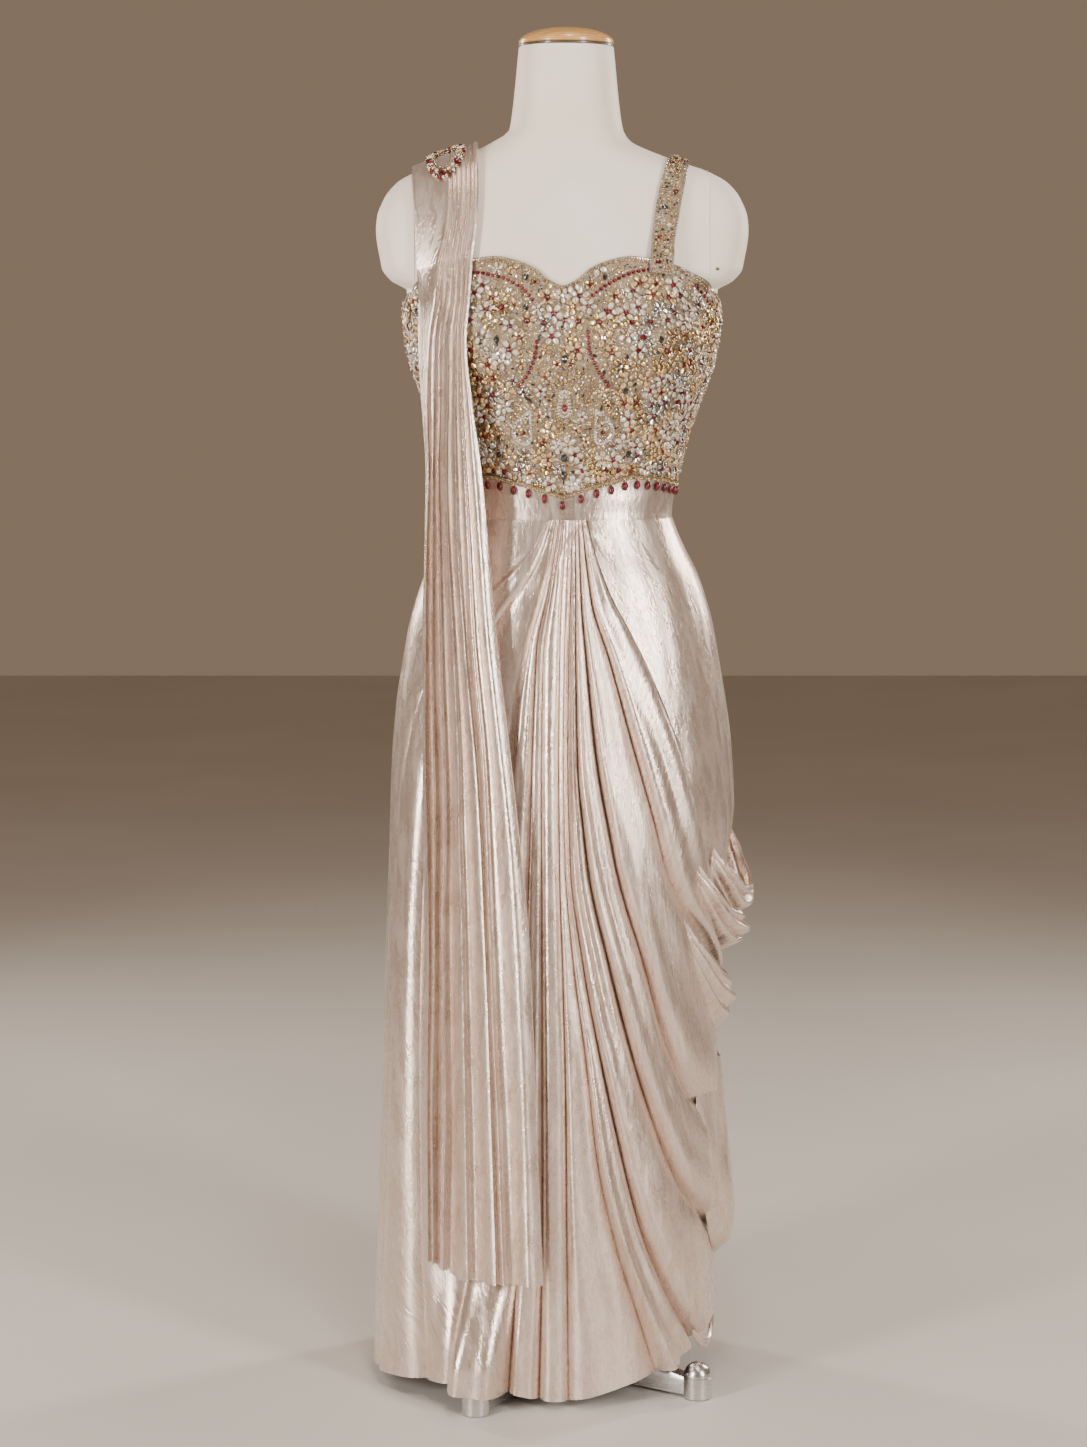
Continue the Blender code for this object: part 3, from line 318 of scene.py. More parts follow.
# The side drapes at the wearer's left: loops of cloth over the side of the skirt. The top edge of
# each runs from its front end to its back end and sags between them. Their front ends run into the
# folds of the front.
Cut = namedtuple("Cut", "width length area")
Drape = namedtuple("Drape", "name front back front_height back_height sag depth bulge "
                            "front_seat back_seat cut profile")
SIDE_DRAPES = (
    Drape("side_cowl_upper", 60, 117, 0.640, 0.690, 0.070, 0.058, 0.036, 0.004, 0.0036,
          Cut(0.29, 0.075, 0.0140), ((0, 0.82), (0.3, 1.0), (0.65, 0.8), (1, 0.10))),
    Drape("side_cowl_middle", 44, 112, 0.640, 0.570, 0.046, 0.046, 0.029, 0.006, 0.0066,
          Cut(0.27, 0.060, 0.0115), ((0, 0.75), (0.35, 1.0), (0.7, 0.75), (1, 0.10))),
    Drape("side_cowl_lower", 46, 108, 0.560, 0.490, 0.042, 0.062, 0.020, 0.006, 0.0068,
          Cut(0.25, 0.070, 0.0125), ((0, 0.75), (0.35, 1.0), (0.7, 0.7), (1, 0.10))),
    Drape("side_fold", 58, 108, 0.400, 0.380, 0.006, 0.238, 0.026, 0.006, 0.0084,
          Cut(0.30, 0.230, 0.0330),
          ((0, 0.12), (0.4, 0.55), (0.75, 1.0), (0.92, 0.85), (1, 0.25))),
    Drape("hem_cowl", 57, 103, 0.074, 0.180, 0.060, 0.020, 0.006, 0.013, 0.0070,
          Cut(0.225, 0.020, 0.0028), ((0, 0.6), (0.5, 1.0), (1, 0.4))),
)

# The stand
STAND_X, STAND_Y = 0.001, -0.018
FOOT_REACH = 0.186
FOOT_TURNS = (("front_right", 237.5), ("front_left", 327.5), ("back_left", 57.5),
              ("back_right", 147.5))
FOOT_RADIUS = 0.0165
FOOT_HEIGHT = 0.042
FOOT_SHOULDER = 0.026
LEG_HALF_WIDTH = 0.010
LEG_CLEARANCE = 0.003
LEG_TOP_AT_FOOT = 0.0255
LEG_TOP_AT_HUB = 0.052
HUB_RADIUS = 0.030
HUB_TOP = 0.070
POLE_RADIUS = 0.0125

CAP_RADIUS = 0.0545
RIM_BOTTOM = 1.5563
RIM_TOP = 1.5593
CAP_TOP = 1.579
ARM_SEAMS = (("left", 0.1665), ("right", -0.1685))
PIN_ACROSS = 0.176
PIN_LEAN = 62.0
TURN_STEPS = 72  # flat facets round each turned solid

# The bodice and its beads
BODICE_OUT = EASE + BEADED
PANEL_GAP = 0.10  # degrees of turn left free along an edge of a panel
BOSS = 0.0012  # how far the beads stand out of their cloth
FLAT = 10  # added to a kind for a sequin, which is flat and tilted
GOLD, SILVER, PEARL, CHAMPAGNE, GARNET, JET = range(6)
KINDS = (GOLD, SILVER, PEARL, CHAMPAGNE, JET)
FIELD_PITCH = 0.0052
FIELD_SHARES = (0.36, 0.22, 0.07, 0.19, 0.16)
ROSETTE_PITCH = 0.0172
Spot = namedtuple("Spot", "across height angle length width kind")

# Lines of garnets, by places (across, height) on the front of the bodice
GARNET_LINES = (
    ((0.110, 1.302), (0.080, 1.297), (0.052, 1.284), (0.030, 1.268)),
    ((-0.103, 1.298), (-0.072, 1.292), (-0.045, 1.278), (-0.031, 1.262)),
    ((-0.029, 1.222), (-0.031, 1.205), (-0.039, 1.185), (-0.051, 1.169)),
    ((0.028, 1.233), (0.030, 1.212), (0.039, 1.190), (0.052, 1.170)),
    ((0.145, 1.287), (0.158, 1.272), (0.169, 1.256)),
)
JET_DROPS = ((0.002, 1.200, 0.0048), (0.0015, 1.090, 0.0048), (0.0015, 1.070, 0.0052),
             (-0.041, 1.291, 0.0042), (-0.041, 1.257, 0.0042), (-0.074, 1.222, 0.0042),
             (0.070, 1.166, 0.0042), (0.073, 1.094, 0.0042), (0.047, 1.291, 0.0040),
             (-0.071, 1.094, 0.0040), (0.108, 1.222, 0.0042))
TEARDROP = (0.0022, 1.150)
PAISLEYS = ((-0.0455, 1.124, -1), (0.0465, 1.125, 1))
GARNET_PITCH = 0.0058
CUP_LEVEL = 1.16  # height at which distances round the bodice are measured
FIELD_BOTTOM = 1.046
FIELD_TOP = 1.313
HEX_RISE = 0.866  # distance between rows of a hexagonal field, in pitches
SEED_SIZES = (0.0012, 0.0016, 0.0021)
SEED_SHARES = (0.40, 0.43, 0.17)
ROSETTE_CLEAR = 0.0078  # a rosette nearer than this to a motif is left out
ROSETTE_TIGHT = 0.0125  # and nearer than this it is small


def smooth_curve(stations, values, at):
    """Values read between stations on a smooth curve that never overshoots them."""
    stations = np.asarray(stations, float)
    values = np.asarray(values, float)
    gaps = np.diff(stations)
    slopes = np.diff(values) / gaps
    tangents = np.zeros(len(values))
    tangents[0] = slopes[0]
    tangents[-1] = slopes[-1]
    product = slopes[:-1] * slopes[1:]
    same_way = product > 0
    total = np.where(same_way, slopes[:-1] + slopes[1:], 1.0)
    tangents[1:-1] = np.where(same_way, 2 * product / total, 0.0)
    at = np.clip(at, stations[0], stations[-1])
    span = np.clip(np.searchsorted(stations, at, side="right") - 1, 0, len(gaps) - 1)
    gap = gaps[span]
    t = (at - stations[span]) / gap
    start = values[span] * (1 + 2 * t) * (1 - t) ** 2 + tangents[span] * gap * t * (1 - t) ** 2
    end = values[span + 1] * t**2 * (3 - 2 * t) + tangents[span + 1] * gap * t**2 * (t - 1)
    return start + end


def through(stops, at):
    """Values read smoothly from (station, value) pairs."""
    stations, values = zip(*stops)
    return smooth_curve(stations, values, at)


def travel(places):
    """Distance to each place of a line from its first."""
    steps = np.linalg.norm(np.diff(places, axis=0), axis=1)
    return np.concatenate([[0.0], np.cumsum(steps)])


def read(table, column, key, at):
    """A named column of a table, read smoothly along another."""
    return smooth_curve([getattr(row, key) for row in table], [getattr(row, column) for row in table],
                        at)


def bust(turn, height):
    """How far the cups stand out beyond the plain section."""
    level = np.exp(-((height - BUST_HEIGHT) / CUP_DEPTH) ** 2)
    cups = np.exp(-((np.abs(turn) - CUP_TURN) / CUP_SPREAD) ** 2) - 0.45 * np.exp(-((turn / 9) ** 2))
    return BUST_RISE * level * cups


def arm_stub(turn, height):
    """How far the stubs of the arms stand out beyond the plain section."""
    share = np.clip((np.abs(turn) - ARM_STUB_START) / (ARM_STUB_FULL - ARM_STUB_START), 0, 1)
    back = np.clip((180 - np.abs(turn) - ARM_STUB_START) / (ARM_STUB_FULL - ARM_STUB_START), 0, 1)
    share = np.where(np.abs(turn) > 90, back, share)
    return read(ARM_STUB, "rise", "height", height) * share**2 * (3 - 2 * share)


def edge_height(edge, turn):
    """Height of an edge of the bodice at a turn to either side."""
    return read(edge, "height", "turn", np.abs(turn))


def extents(table, side, facing, height):
    """The half width and the depth of a section on the side that these signs choose."""
    half = np.where(side < 0, read(table, "left", "height", height),
                    read(table, "right", "height", height))
    depth = np.where(facing < 0, read(table, "front", "height", height),
                     read(table, "back", "height", height))
    return half, depth


def ring(table, turn, height):
    """The point of a table's surface at a turn and a height."""
    turn, height = np.broadcast_arrays(np.asarray(turn, float), np.asarray(height, float))
    sine = np.sin(np.radians(turn))
    cosine = np.cos(np.radians(turn))
    half, depth = extents(table, sine, -cosine, height)
    power = 2 / ROUNDNESS
    x = np.sign(sine) * half * np.abs(sine) ** power
    y = -np.sign(cosine) * depth * np.abs(cosine) ** power
    if table is FIGURE:
        grown = 1 + (bust(turn, height) + arm_stub(turn, height)) / np.hypot(x, y)
        x = x * grown
        y = y * grown
    return np.stack([x, y, height], axis=-1)


def unit(vectors):
    """The same directions at length 1."""
    return vectors / np.linalg.norm(vectors, axis=-1, keepdims=True)


def surface(table, turn, height, out=0.0):
    """The point that lies a distance out from a table's surface, square to it."""
    turn, height = np.broadcast_arrays(np.asarray(turn, float), np.asarray(height, float))
    along = ring(table, turn + 0.5, height) - ring(table, turn - 0.5, height)
    up = ring(table, turn, height + 0.002) - ring(table, turn, height - 0.002)
    out = np.broadcast_to(out, turn.shape)[..., None]
    return ring(table, turn, height) + out * unit(np.cross(along, up))


def turn_at(table, across, height):
    """The turn at which the front of a section is a distance across from the middle."""
    half, _ = extents(table, across, -1, height)
    share = np.clip(np.abs(across) / half, 0, 1) ** (ROUNDNESS / 2)
    turn = np.degrees(np.arcsin(share))
    return np.sign(across) * np.where(np.abs(across) >= SIDE, SEAM_TURN, turn)


def inside_figure(points):
    """Below 1 inside the form and above 1 outside."""
    x, y, height = points[..., 0], points[..., 1], points[..., 2]
    half, depth = extents(FIGURE, x, y, height)
    wide = np.abs(x) / half
    deep = np.abs(y) / depth
    plain = np.maximum(wide**ROUNDNESS + deep**ROUNDNESS, 1e-9)
    turn = np.degrees(np.arctan2(wide ** (ROUNDNESS / 2), -np.sign(y) * deep ** (ROUNDNESS / 2)))
    radius = np.hypot(x, y) / plain ** (1 / ROUNDNESS)
    grown = 1 + (bust(turn, height) + arm_stub(turn, height)) / np.maximum(radius, 1e-6)
    return plain / grown**ROUNDNESS


def over_shoulder(across, lean, out):
    """A point over the shoulder: lean is 0 straight up, 90 to the front and -90 to the back."""
    across, lean = np.broadcast_arrays(np.asarray(across, float), np.asarray(lean, float))
    angle = np.radians(lean)
    direction = np.stack([0 * angle, -np.sin(angle), np.cos(angle)], axis=-1)
    start = np.stack([across, 0 * across, SHOULDER_HEIGHT + 0 * across], axis=-1)
    near = np.zeros(across.shape)
    far = np.full(across.shape, 0.25)
    for _ in range(30):
        middle = (near + far) / 2
        within = inside_figure(start + direction * middle[..., None]) < 1
        near = np.where(within, middle, near)
        far = np.where(within, far, middle)
    place = start + direction * near[..., None]
    step = 0.0005
    slope = np.stack([inside_figure(place + step * axis) - inside_figure(place - step * axis)
                      for axis in np.eye(3)], axis=-1)
    out = np.broadcast_to(out, across.shape)[..., None]
    return place + out * unit(slope)


def noise(x, y, seed):
    """Smooth noise from -1 to 1 over the plane, the same each time for a seed."""
    rng = np.random.default_rng(seed)
    table = rng.uniform(-1, 1, (NOISE_SIZE, NOISE_SIZE))
    x, y = np.broadcast_arrays(np.asarray(x, float), np.asarray(y, float))
    column = np.floor(x).astype(int)
    row = np.floor(y).astype(int)
    s = x - column
    t = y - row
    s = s * s * (3 - 2 * s)
    t = t * t * (3 - 2 * t)
    column, row = column % NOISE_SIZE, row % NOISE_SIZE
    beside, above = (column + 1) % NOISE_SIZE, (row + 1) % NOISE_SIZE
    low = table[row, column] * (1 - s) + table[row, beside] * s
    high = table[above, column] * (1 - s) + table[above, beside] * s
    return low * (1 - t) + high * t


def placed(name, data):
    """A new object of this data, in the scene."""
    made = bpy.data.objects.new(name, data)
    bpy.context.scene.collection.objects.link(made)
    return made


def new_object(name, points, faces, coats, uv=None, which=None, flat=None):
    """An object of these points and faces, with a material index and a flat look for each face."""
    mesh = bpy.data.meshes.new(name)
    sizes = np.array([len(face) for face in faces])
    corners = np.concatenate([np.asarray(face) for face in faces]).astype(np.int32)
    mesh.vertices.add(len(points))
    mesh.vertices.foreach_set("co", np.asarray(points, np.float32).ravel())
    mesh.loops.add(len(corners))
    mesh.loops.foreach_set("vertex_index", corners)
    mesh.polygons.add(len(sizes))
    starts = np.concatenate([[0], np.cumsum(sizes)[:-1]]).astype(np.int32)
    mesh.polygons.foreach_set("loop_start", starts)
    mesh.polygons.foreach_set("use_smooth", np.ones(len(sizes), bool) if flat is None else ~flat)
    for coat in coats:
        mesh.materials.append(coat)
    if which is not None:
        mesh.polygons.foreach_set("material_index", np.asarray(which, np.int32))
    if uv is not None:
        layer = mesh.uv_layers.new(name="UVMap")
        layer.data.foreach_set("uv", np.asarray(uv, np.float32)[corners].ravel())
    mesh.update(calc_edges=True)
    mesh.validate()
    return placed(name, mesh)


def wall(name, inside, outside, u, v, coat):
    """A closed wall between two grids of points, with u across and v along it, in metres."""
    rows, columns = inside.shape[:2]
    over = rows * columns
    points = np.concatenate([inside.reshape(-1, 3), outside.reshape(-1, 3)])
    index = np.arange(over).reshape(rows, columns)
    a, b = index[:-1, :-1].ravel(), index[:-1, 1:].ravel()
    c, d = index[1:, 1:].ravel(), index[1:, :-1].ravel()
    inner = np.stack([a, b, c, d], axis=1)
    outer = np.stack([d, c, b, a], axis=1) + over
    edge = np.concatenate([index[0, :], index[1:, -1], index[-1, -2::-1], index[-2:0:-1, 0]])
    following = np.roll(edge, -1)
    rim = np.stack([following, edge, edge + over, following + over], axis=1)
    faces = np.concatenate([inner, outer, rim])
    corners = points[faces]
    volume = np.einsum("ij,ij->i", corners[:, 0], np.cross(corners[:, 1], corners[:, 2]))
    volume = volume + np.einsum("ij,ij->i", corners[:, 0], np.cross(corners[:, 2], corners[:, 3]))
    if volume.sum() < 0:
        faces = faces[:, ::-1]
    u, v = np.broadcast_arrays(u, v)
    uv = np.stack([u.ravel(), v.ravel()], axis=1)
    made = new_object(name, points, faces, [coat], np.concatenate([uv, uv]))
    made.data.set_sharp_from_angle(angle=np.radians(55))
    return made


def loft(name, rings, coat):
    """A solid through closed rings, with a flat face at each end."""
    levels, around = rings.shape[:2]
    index = np.arange(levels * around).reshape(levels, around)
    following = np.roll(index, -1, axis=1)
    sides = np.stack([index[:-1], following[:-1], following[1:], index[1:]], axis=-1).reshape(-1, 4)
    faces = [index[0][::-1], index[-1]] + list(sides)
    made = new_object(name, rings.reshape(-1, 3), faces, [coat])
    made.data.set_sharp_from_angle(angle=np.radians(40))
    return made


def arcs(grid):
    """Distance across each row of a grid of points from its middle column, and down its columns."""
    across = np.linalg.norm(np.diff(grid, axis=1), axis=-1)
    across = np.concatenate([np.zeros((len(grid), 1)), np.cumsum(across, axis=1)], axis=1)
    across = across - across[:, grid.shape[1] // 2][:, None]
    down = np.linalg.norm(np.diff(grid, axis=0), axis=-1)
    down = np.concatenate([np.zeros((1, grid.shape[1])), np.cumsum(down, axis=0)], axis=0)
    return across, down


def cloth_wall(name, table, turn, height, rise, coat, thick=FINE):
    """A cloth wall whose outside lies rise + CLOTH beyond a table's surface."""
    outside = surface(table, turn, height, rise + CLOTH)
    inside = surface(table, turn, height, rise + CLOTH - thick)
    across, down = arcs(outside)
    return wall(name, inside, outside, across, down, coat)


def dress(piece, slot, *nodes):
    """The piece rides on the part and stands for these nodes of the frame, which are hidden. Its slot is
    not used.
    """
    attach(piece, "root")
    if nodes:
        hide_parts(*nodes)
    return piece


# Materials


class Finish:
    """A Principled material whose looks come from nodes in metres."""

    def __init__(self, name, metallic, roughness, **sockets):
        self.material = bpy.data.materials.new(name)
        self.material.use_nodes = True
        self.tree = self.material.node_tree
        self.shader = self.tree.nodes["Principled BSDF"]
        self.shader.inputs["Metallic"].default_value = metallic
        self.shader.inputs["Roughness"].default_value = roughness
        for socket, value in sockets.items():
            self.shader.inputs[socket.replace("_", " ")].default_value = value
        self.bump = None

    def add(self, kind, **settings):
        """A node with these inputs or properties."""
        node = self.tree.nodes.new(kind)
        for key, value in settings.items():
            if key in node.inputs:
                node.inputs[key].default_value = value
            else:
                setattr(node, key, value)
        return node

    def join(self, start, end):
        """A link from an output to an input."""
        self.tree.links.new(start, end)

    def place(self, source, stretch=(1, 1, 1)):
        """Coordinates in metres, UV or Object, stretched."""
        origin = self.add("ShaderNodeTexCoord")
        mapping = self.add("ShaderNodeMapping", Scale=stretch)
        self.join(origin.outputs[source], mapping.inputs["Vector"])
        return mapping.outputs["Vector"]

    def noise(self, where, scale, detail=2.0, rough=0.5, distortion=0.0):
        """Fractal noise at these coordinates."""
        node = self.add("ShaderNodeTexNoise", Scale=scale, Detail=detail, Roughness=rough,
                        Distortion=distortion)
        self.join(where, node.inputs["Vector"])
        return node.outputs["Fac"]

    def ramp(self, factor, *stops):
        """Colours by place from 0 to 1."""
        node = self.add("ShaderNodeValToRGB")
        elements = node.color_ramp.elements
        while len(elements) < len(stops):
            elements.new(0.5)
        for element, (place, colour) in zip(elements, stops):
            element.position = place
            element.color = (*colour, 1.0)
        self.join(factor, node.inputs["Fac"])
        return node.outputs["Color"]

    def spread(self, factor, low, high, start=0.3, stop=0.7):
        """The factor's range from start to stop, mapped to low to high."""
        node = self.add("ShaderNodeMapRange")
        for key, value in (("From Min", start), ("From Max", stop), ("To Min", low), ("To Max", high)):
            node.inputs[key].default_value = value
        self.join(factor, node.inputs["Value"])
        return node.outputs["Result"]

    def mix(self, factor, first, second):
        """A blend of two colours."""
        node = self.add("ShaderNodeMix", data_type="RGBA")
        node.inputs["Factor"].default_value = factor
        self.join(first, node.inputs[6])
        self.join(second, node.inputs[7])
        return node.outputs[2]

    def colour(self, output):
        """The base colour comes from this output."""
        self.join(output, self.shader.inputs["Base Color"])

    def roughness(self, output):
        """The roughness comes from this output."""
        self.join(output, self.shader.inputs["Roughness"])

    def relief(self, height, strength, distance):
        """A bump on top of those before it, with its depth in metres."""
        node = self.add("ShaderNodeBump", Strength=strength, Distance=distance)
        self.join(height, node.inputs["Height"])
        if self.bump:
            self.join(self.bump, node.inputs["Normal"])
        self.bump = node.outputs["Normal"]
        self.join(self.bump, self.shader.inputs["Normal"])


def jersey_finish():
    """Foil-printed jersey: a fine mottled metallic film, finely crinkled along the cloth."""
    made = Finish("Foil jersey", 0.80, 0.28, Sheen_Weight=0.10, Sheen_Roughness=0.4,
                  Specular_IOR_Level=0.5)
    streaks = made.noise(made.place("UV", (900, 110, 1)), 1.0, 3.0, 0.6)
    bands = made.noise(made.place("UV", (90, 22, 1)), 1.0, 3.0, 0.55, 0.6)
    crinkle = made.noise(made.place("UV", (260, 130, 1)), 1.0, 3.0, 0.62, 0.6)
    grain = made.noise(made.place("Object"), 900.0, 2.0)
    fine = made.ramp(streaks, (0.30, (0.61, 0.46, 0.375)), (0.52, (0.74, 0.595, 0.51)),
                     (0.72, (0.92, 0.82, 0.75)))
    wide = made.ramp(bands, (0.30, (0.63, 0.485, 0.40)), (0.70, (0.83, 0.71, 0.63)))
    made.colour(made.mix(0.5, fine, wide))
    made.roughness(made.spread(bands, 0.20, 0.36))
    made.relief(crinkle, 0.42, 0.0012)
    made.relief(streaks, 0.14, 0.0003)
    made.relief(grain, 0.08, 0.0002)
    return made.material


def net_finish():
    """The ground of the beaded panels: nude net closely worked with metal thread."""
    made = Finish("Beaded net", 0.25, 0.5)
    where = made.place("UV")
    thread = made.noise(where, 420.0, 3.0, 0.6, 1.4)
    patch = made.noise(where, 55.0, 2.0)
    ground = made.ramp(thread, (0.38, (0.06, 0.035, 0.016)), (0.54, (0.22, 0.14, 0.07)),
                       (0.70, (0.62, 0.50, 0.36)))
    tone = made.ramp(patch, (0.35, (0.18, 0.115, 0.055)), (0.65, (0.42, 0.33, 0.23)))
    made.colour(made.mix(0.4, ground, tone))
    made.roughness(made.spread(thread, 0.22, 0.5))
    made.relief(thread, 0.55, 0.0012)
    return made.material


def bead_finish(name, dark, light, roughness, metallic, coat=0.0):
    """Beads of one kind, each a little different in tone."""
    made = Finish(name, metallic, roughness, Coat_Weight=coat, Coat_Roughness=0.06)
    tone = made.noise(made.place("Object"), 260.0, 1.0)
    made.colour(made.ramp(tone, (0.35, dark), (0.65, light)))
    made.roughness(made.spread(tone, roughness * 0.75, roughness * 1.35))
    return made.material


def canvas_finish():
    """The form's smooth off-white cover, with a close weave."""
    made = Finish("Form cover", 0.0, 0.62, Sheen_Weight=0.1, Sheen_Roughness=0.5)
    where = made.place("Object")
    warp = made.add("ShaderNodeTexWave", wave_type="BANDS", bands_direction="X")
    weft = made.add("ShaderNodeTexWave", wave_type="BANDS", bands_direction="Z")
    for wave in (warp, weft):
        wave.inputs["Scale"].default_value = 260.0
        wave.inputs["Distortion"].default_value = 1.2
        made.join(where, wave.inputs["Vector"])
    broad = made.noise(where, 9.0, 3.0)
    made.colour(made.ramp(broad, (0.3, (0.80, 0.695, 0.58)), (0.7, (0.88, 0.79, 0.69))))
    made.roughness(made.spread(broad, 0.55, 0.7))
    made.relief(warp.outputs["Fac"], 0.10, 0.0002)
    made.relief(weft.outputs["Fac"], 0.10, 0.0002)
    return made.material


def wood_finish(name, dark, light, roughness):
    """Varnished wood with close rings."""
    made = Finish(name, 0.0, roughness, Coat_Weight=0.5, Coat_Roughness=0.12)
    where = made.place("Object", (1, 1, 4))
    rings = made.add("ShaderNodeTexWave", wave_type="RINGS", rings_direction="X")
    for key, value in (("Scale", 38.0), ("Distortion", 5.0), ("Detail", 3.0), ("Detail Scale", 1.6)):
        rings.inputs[key].default_value = value
    made.join(where, rings.inputs["Vector"])
    fibre = made.noise(made.place("Object", (14, 220, 220)), 1.0, 2.0)
    grain = made.mix(0.35, made.ramp(rings.outputs["Fac"], (0.2, dark), (0.8, light)),
                     made.ramp(fibre, (0.3, dark), (0.7, light)))
    made.colour(grain)
    made.roughness(made.spread(fibre, roughness * 0.8, roughness * 1.25))
    made.relief(fibre, 0.10, 0.0003)
    return made.material


def steel_finish():
    """Satin steel with fine brushing round its length."""
    made = Finish("Brushed steel", 1.0, 0.27)
    brushing = made.noise(made.place("Object", (60, 60, 1600)), 1.0, 3.0, 0.7)
    smudge = made.noise(made.place("Object"), 35.0, 3.0)
    made.colour(made.ramp(smudge, (0.3, (0.54, 0.52, 0.50)), (0.7, (0.72, 0.70, 0.675))))
    made.roughness(made.spread(brushing, 0.18, 0.36))
    made.relief(brushing, 0.12, 0.0002)
    return made.material


def floor_finish():
    """A plain pale floor."""
    made = Finish("Pale floor", 0.0, 0.55)
    cloud = made.noise(made.place("Object"), 1.5, 3.0)
    made.colour(made.ramp(cloud, (0.3, (0.56, 0.52, 0.475)), (0.7, (0.60, 0.56, 0.515))))
    return made.material


# The dress form


def form_body(cover, pin):
    """The padded body, its seams over the shoulders and one pin head."""
    heights = np.concatenate([np.linspace(0.795, 0.86, 12), np.linspace(0.866, 1.27, 74),
                              np.linspace(1.274, 1.456, 74), np.linspace(1.462, 1.556, 16)])
    turns = np.linspace(0, 360, 145)[:-1]
    turns = np.where(turns > 180, turns - 360, turns)
    rings = ring(FIGURE, turns[None, :], heights[:, None])
    dress(loft("form_body_cover", rings, cover), "form_canvas", "form_body")
    for side, across in ARM_SEAMS:
        lean = np.linspace(-70, 72, 60)
        tube(f"form_arm_seam_{side}", over_shoulder(across + 0 * lean, lean, 0.0002), 0.0006, cover)
    at = over_shoulder(PIN_ACROSS, PIN_LEAN, 0.0008)
    head = beads_object("form_pin_head", [Bead(at, unit(at - [PIN_ACROSS, 0, SHOULDER_HEIGHT]),
                                               [1, 0, 0], 0.0022, 0.0022, 0)], [pin])
    dress(head, "cap_rim")


def tube(name, places, radius, coat):
    """A thin round thread through these places."""
    curve = bpy.data.curves.new(name, "CURVE")
    curve.dimensions = "3D"
    curve.bevel_depth = radius
    curve.bevel_resolution = 2
    curve.use_fill_caps = True
    line = curve.splines.new("POLY")
    line.points.add(len(places) - 1)
    for point, place in zip(line.points, places):
        point.co = (*place, 1.0)
    curve.materials.append(coat)
    return dress(placed(name, curve), "form_canvas")


def turned(name, profile, place, coat):
    """A solid turned round an upright axis, from (radius, height) pairs, top to bottom."""
    mesh = bpy.data.meshes.new(name)
    points = [(radius, 0.0, height) for radius, height in profile]
    mesh.from_pydata(points, [(step, step + 1) for step in range(len(points) - 1)], [])
    mesh.materials.append(coat)
    made = placed(name, mesh)
    made.location = place
    screw = made.modifiers.new("Turn", "SCREW")
    screw.steps = TURN_STEPS
    screw.render_steps = TURN_STEPS
    screw.use_merge_vertices = True
    screw.merge_threshold = 0.00001
    screw.use_smooth_shade = True
    split = made.modifiers.new("Crisp edges", "EDGE_SPLIT")
    split.split_angle = np.radians(32)
    return made


def form_cap(dark, wood):
    """The dark rim on the neck and the wooden cap above it."""
    edge = CAP_RADIUS + 0.0005
    rim = ((0.0, RIM_TOP), (edge - 0.0006, RIM_TOP), (edge, RIM_TOP - 0.0006),
           (edge, RIM_BOTTOM + 0.0006), (edge - 0.0006, RIM_BOTTOM), (0.0, RIM_BOTTOM))
    dress(turned("cap_rim_disc", rim, (NECK_SHIFT, 0.0, 0.0), dark), "cap_rim", "form_cap_rim")
    bottom = RIM_TOP + SEAM
    dome = [(CAP_RADIUS * np.sin(step) ** 0.9, bottom + 0.0035 + 0.0159 * np.cos(step) ** 1.15)
            for step in np.radians(np.linspace(2, 90, 22))]
    cap = [(0.0, CAP_TOP)] + dome + [(CAP_RADIUS, bottom + 0.0006), (CAP_RADIUS - 0.0006, bottom),
                                     (0.0, bottom)]
    dress(turned("cap_dome", cap, (NECK_SHIFT, 0.0, 0.0), wood), "cap_wood", "form_cap")


def stand(steel):
    """The pole, its hub and four sloping legs, each with a domed foot."""
    hub = ((0.0, HUB_TOP), (0.0165, HUB_TOP), (0.0185, HUB_TOP - 0.0008), (0.020, HUB_TOP - 0.003),
           (0.021, 0.058), (0.0285, 0.0555), (0.0295, 0.0548), (HUB_RADIUS, 0.0535),
           (HUB_RADIUS, 0.006), (0.0285, 0.0035), (0.027, 0.003), (0.0, 0.003))
    dress(turned("stand_hub_turning", hub, (STAND_X, STAND_Y, 0.0), steel), "stand_steel", "stand_hub")
    top = FIGURE[0].height - SEAM
    pole = ((0.0, top), (POLE_RADIUS, top), (POLE_RADIUS, HUB_TOP + SEAM), (0.0, HUB_TOP + SEAM))
    dress(turned("stand_pole_tube", pole, (STAND_X, STAND_Y, 0.0), steel), "stand_steel", "stand_pole")
    for name, turn in FOOT_TURNS:
        foot_and_leg(name, np.radians(turn), steel)


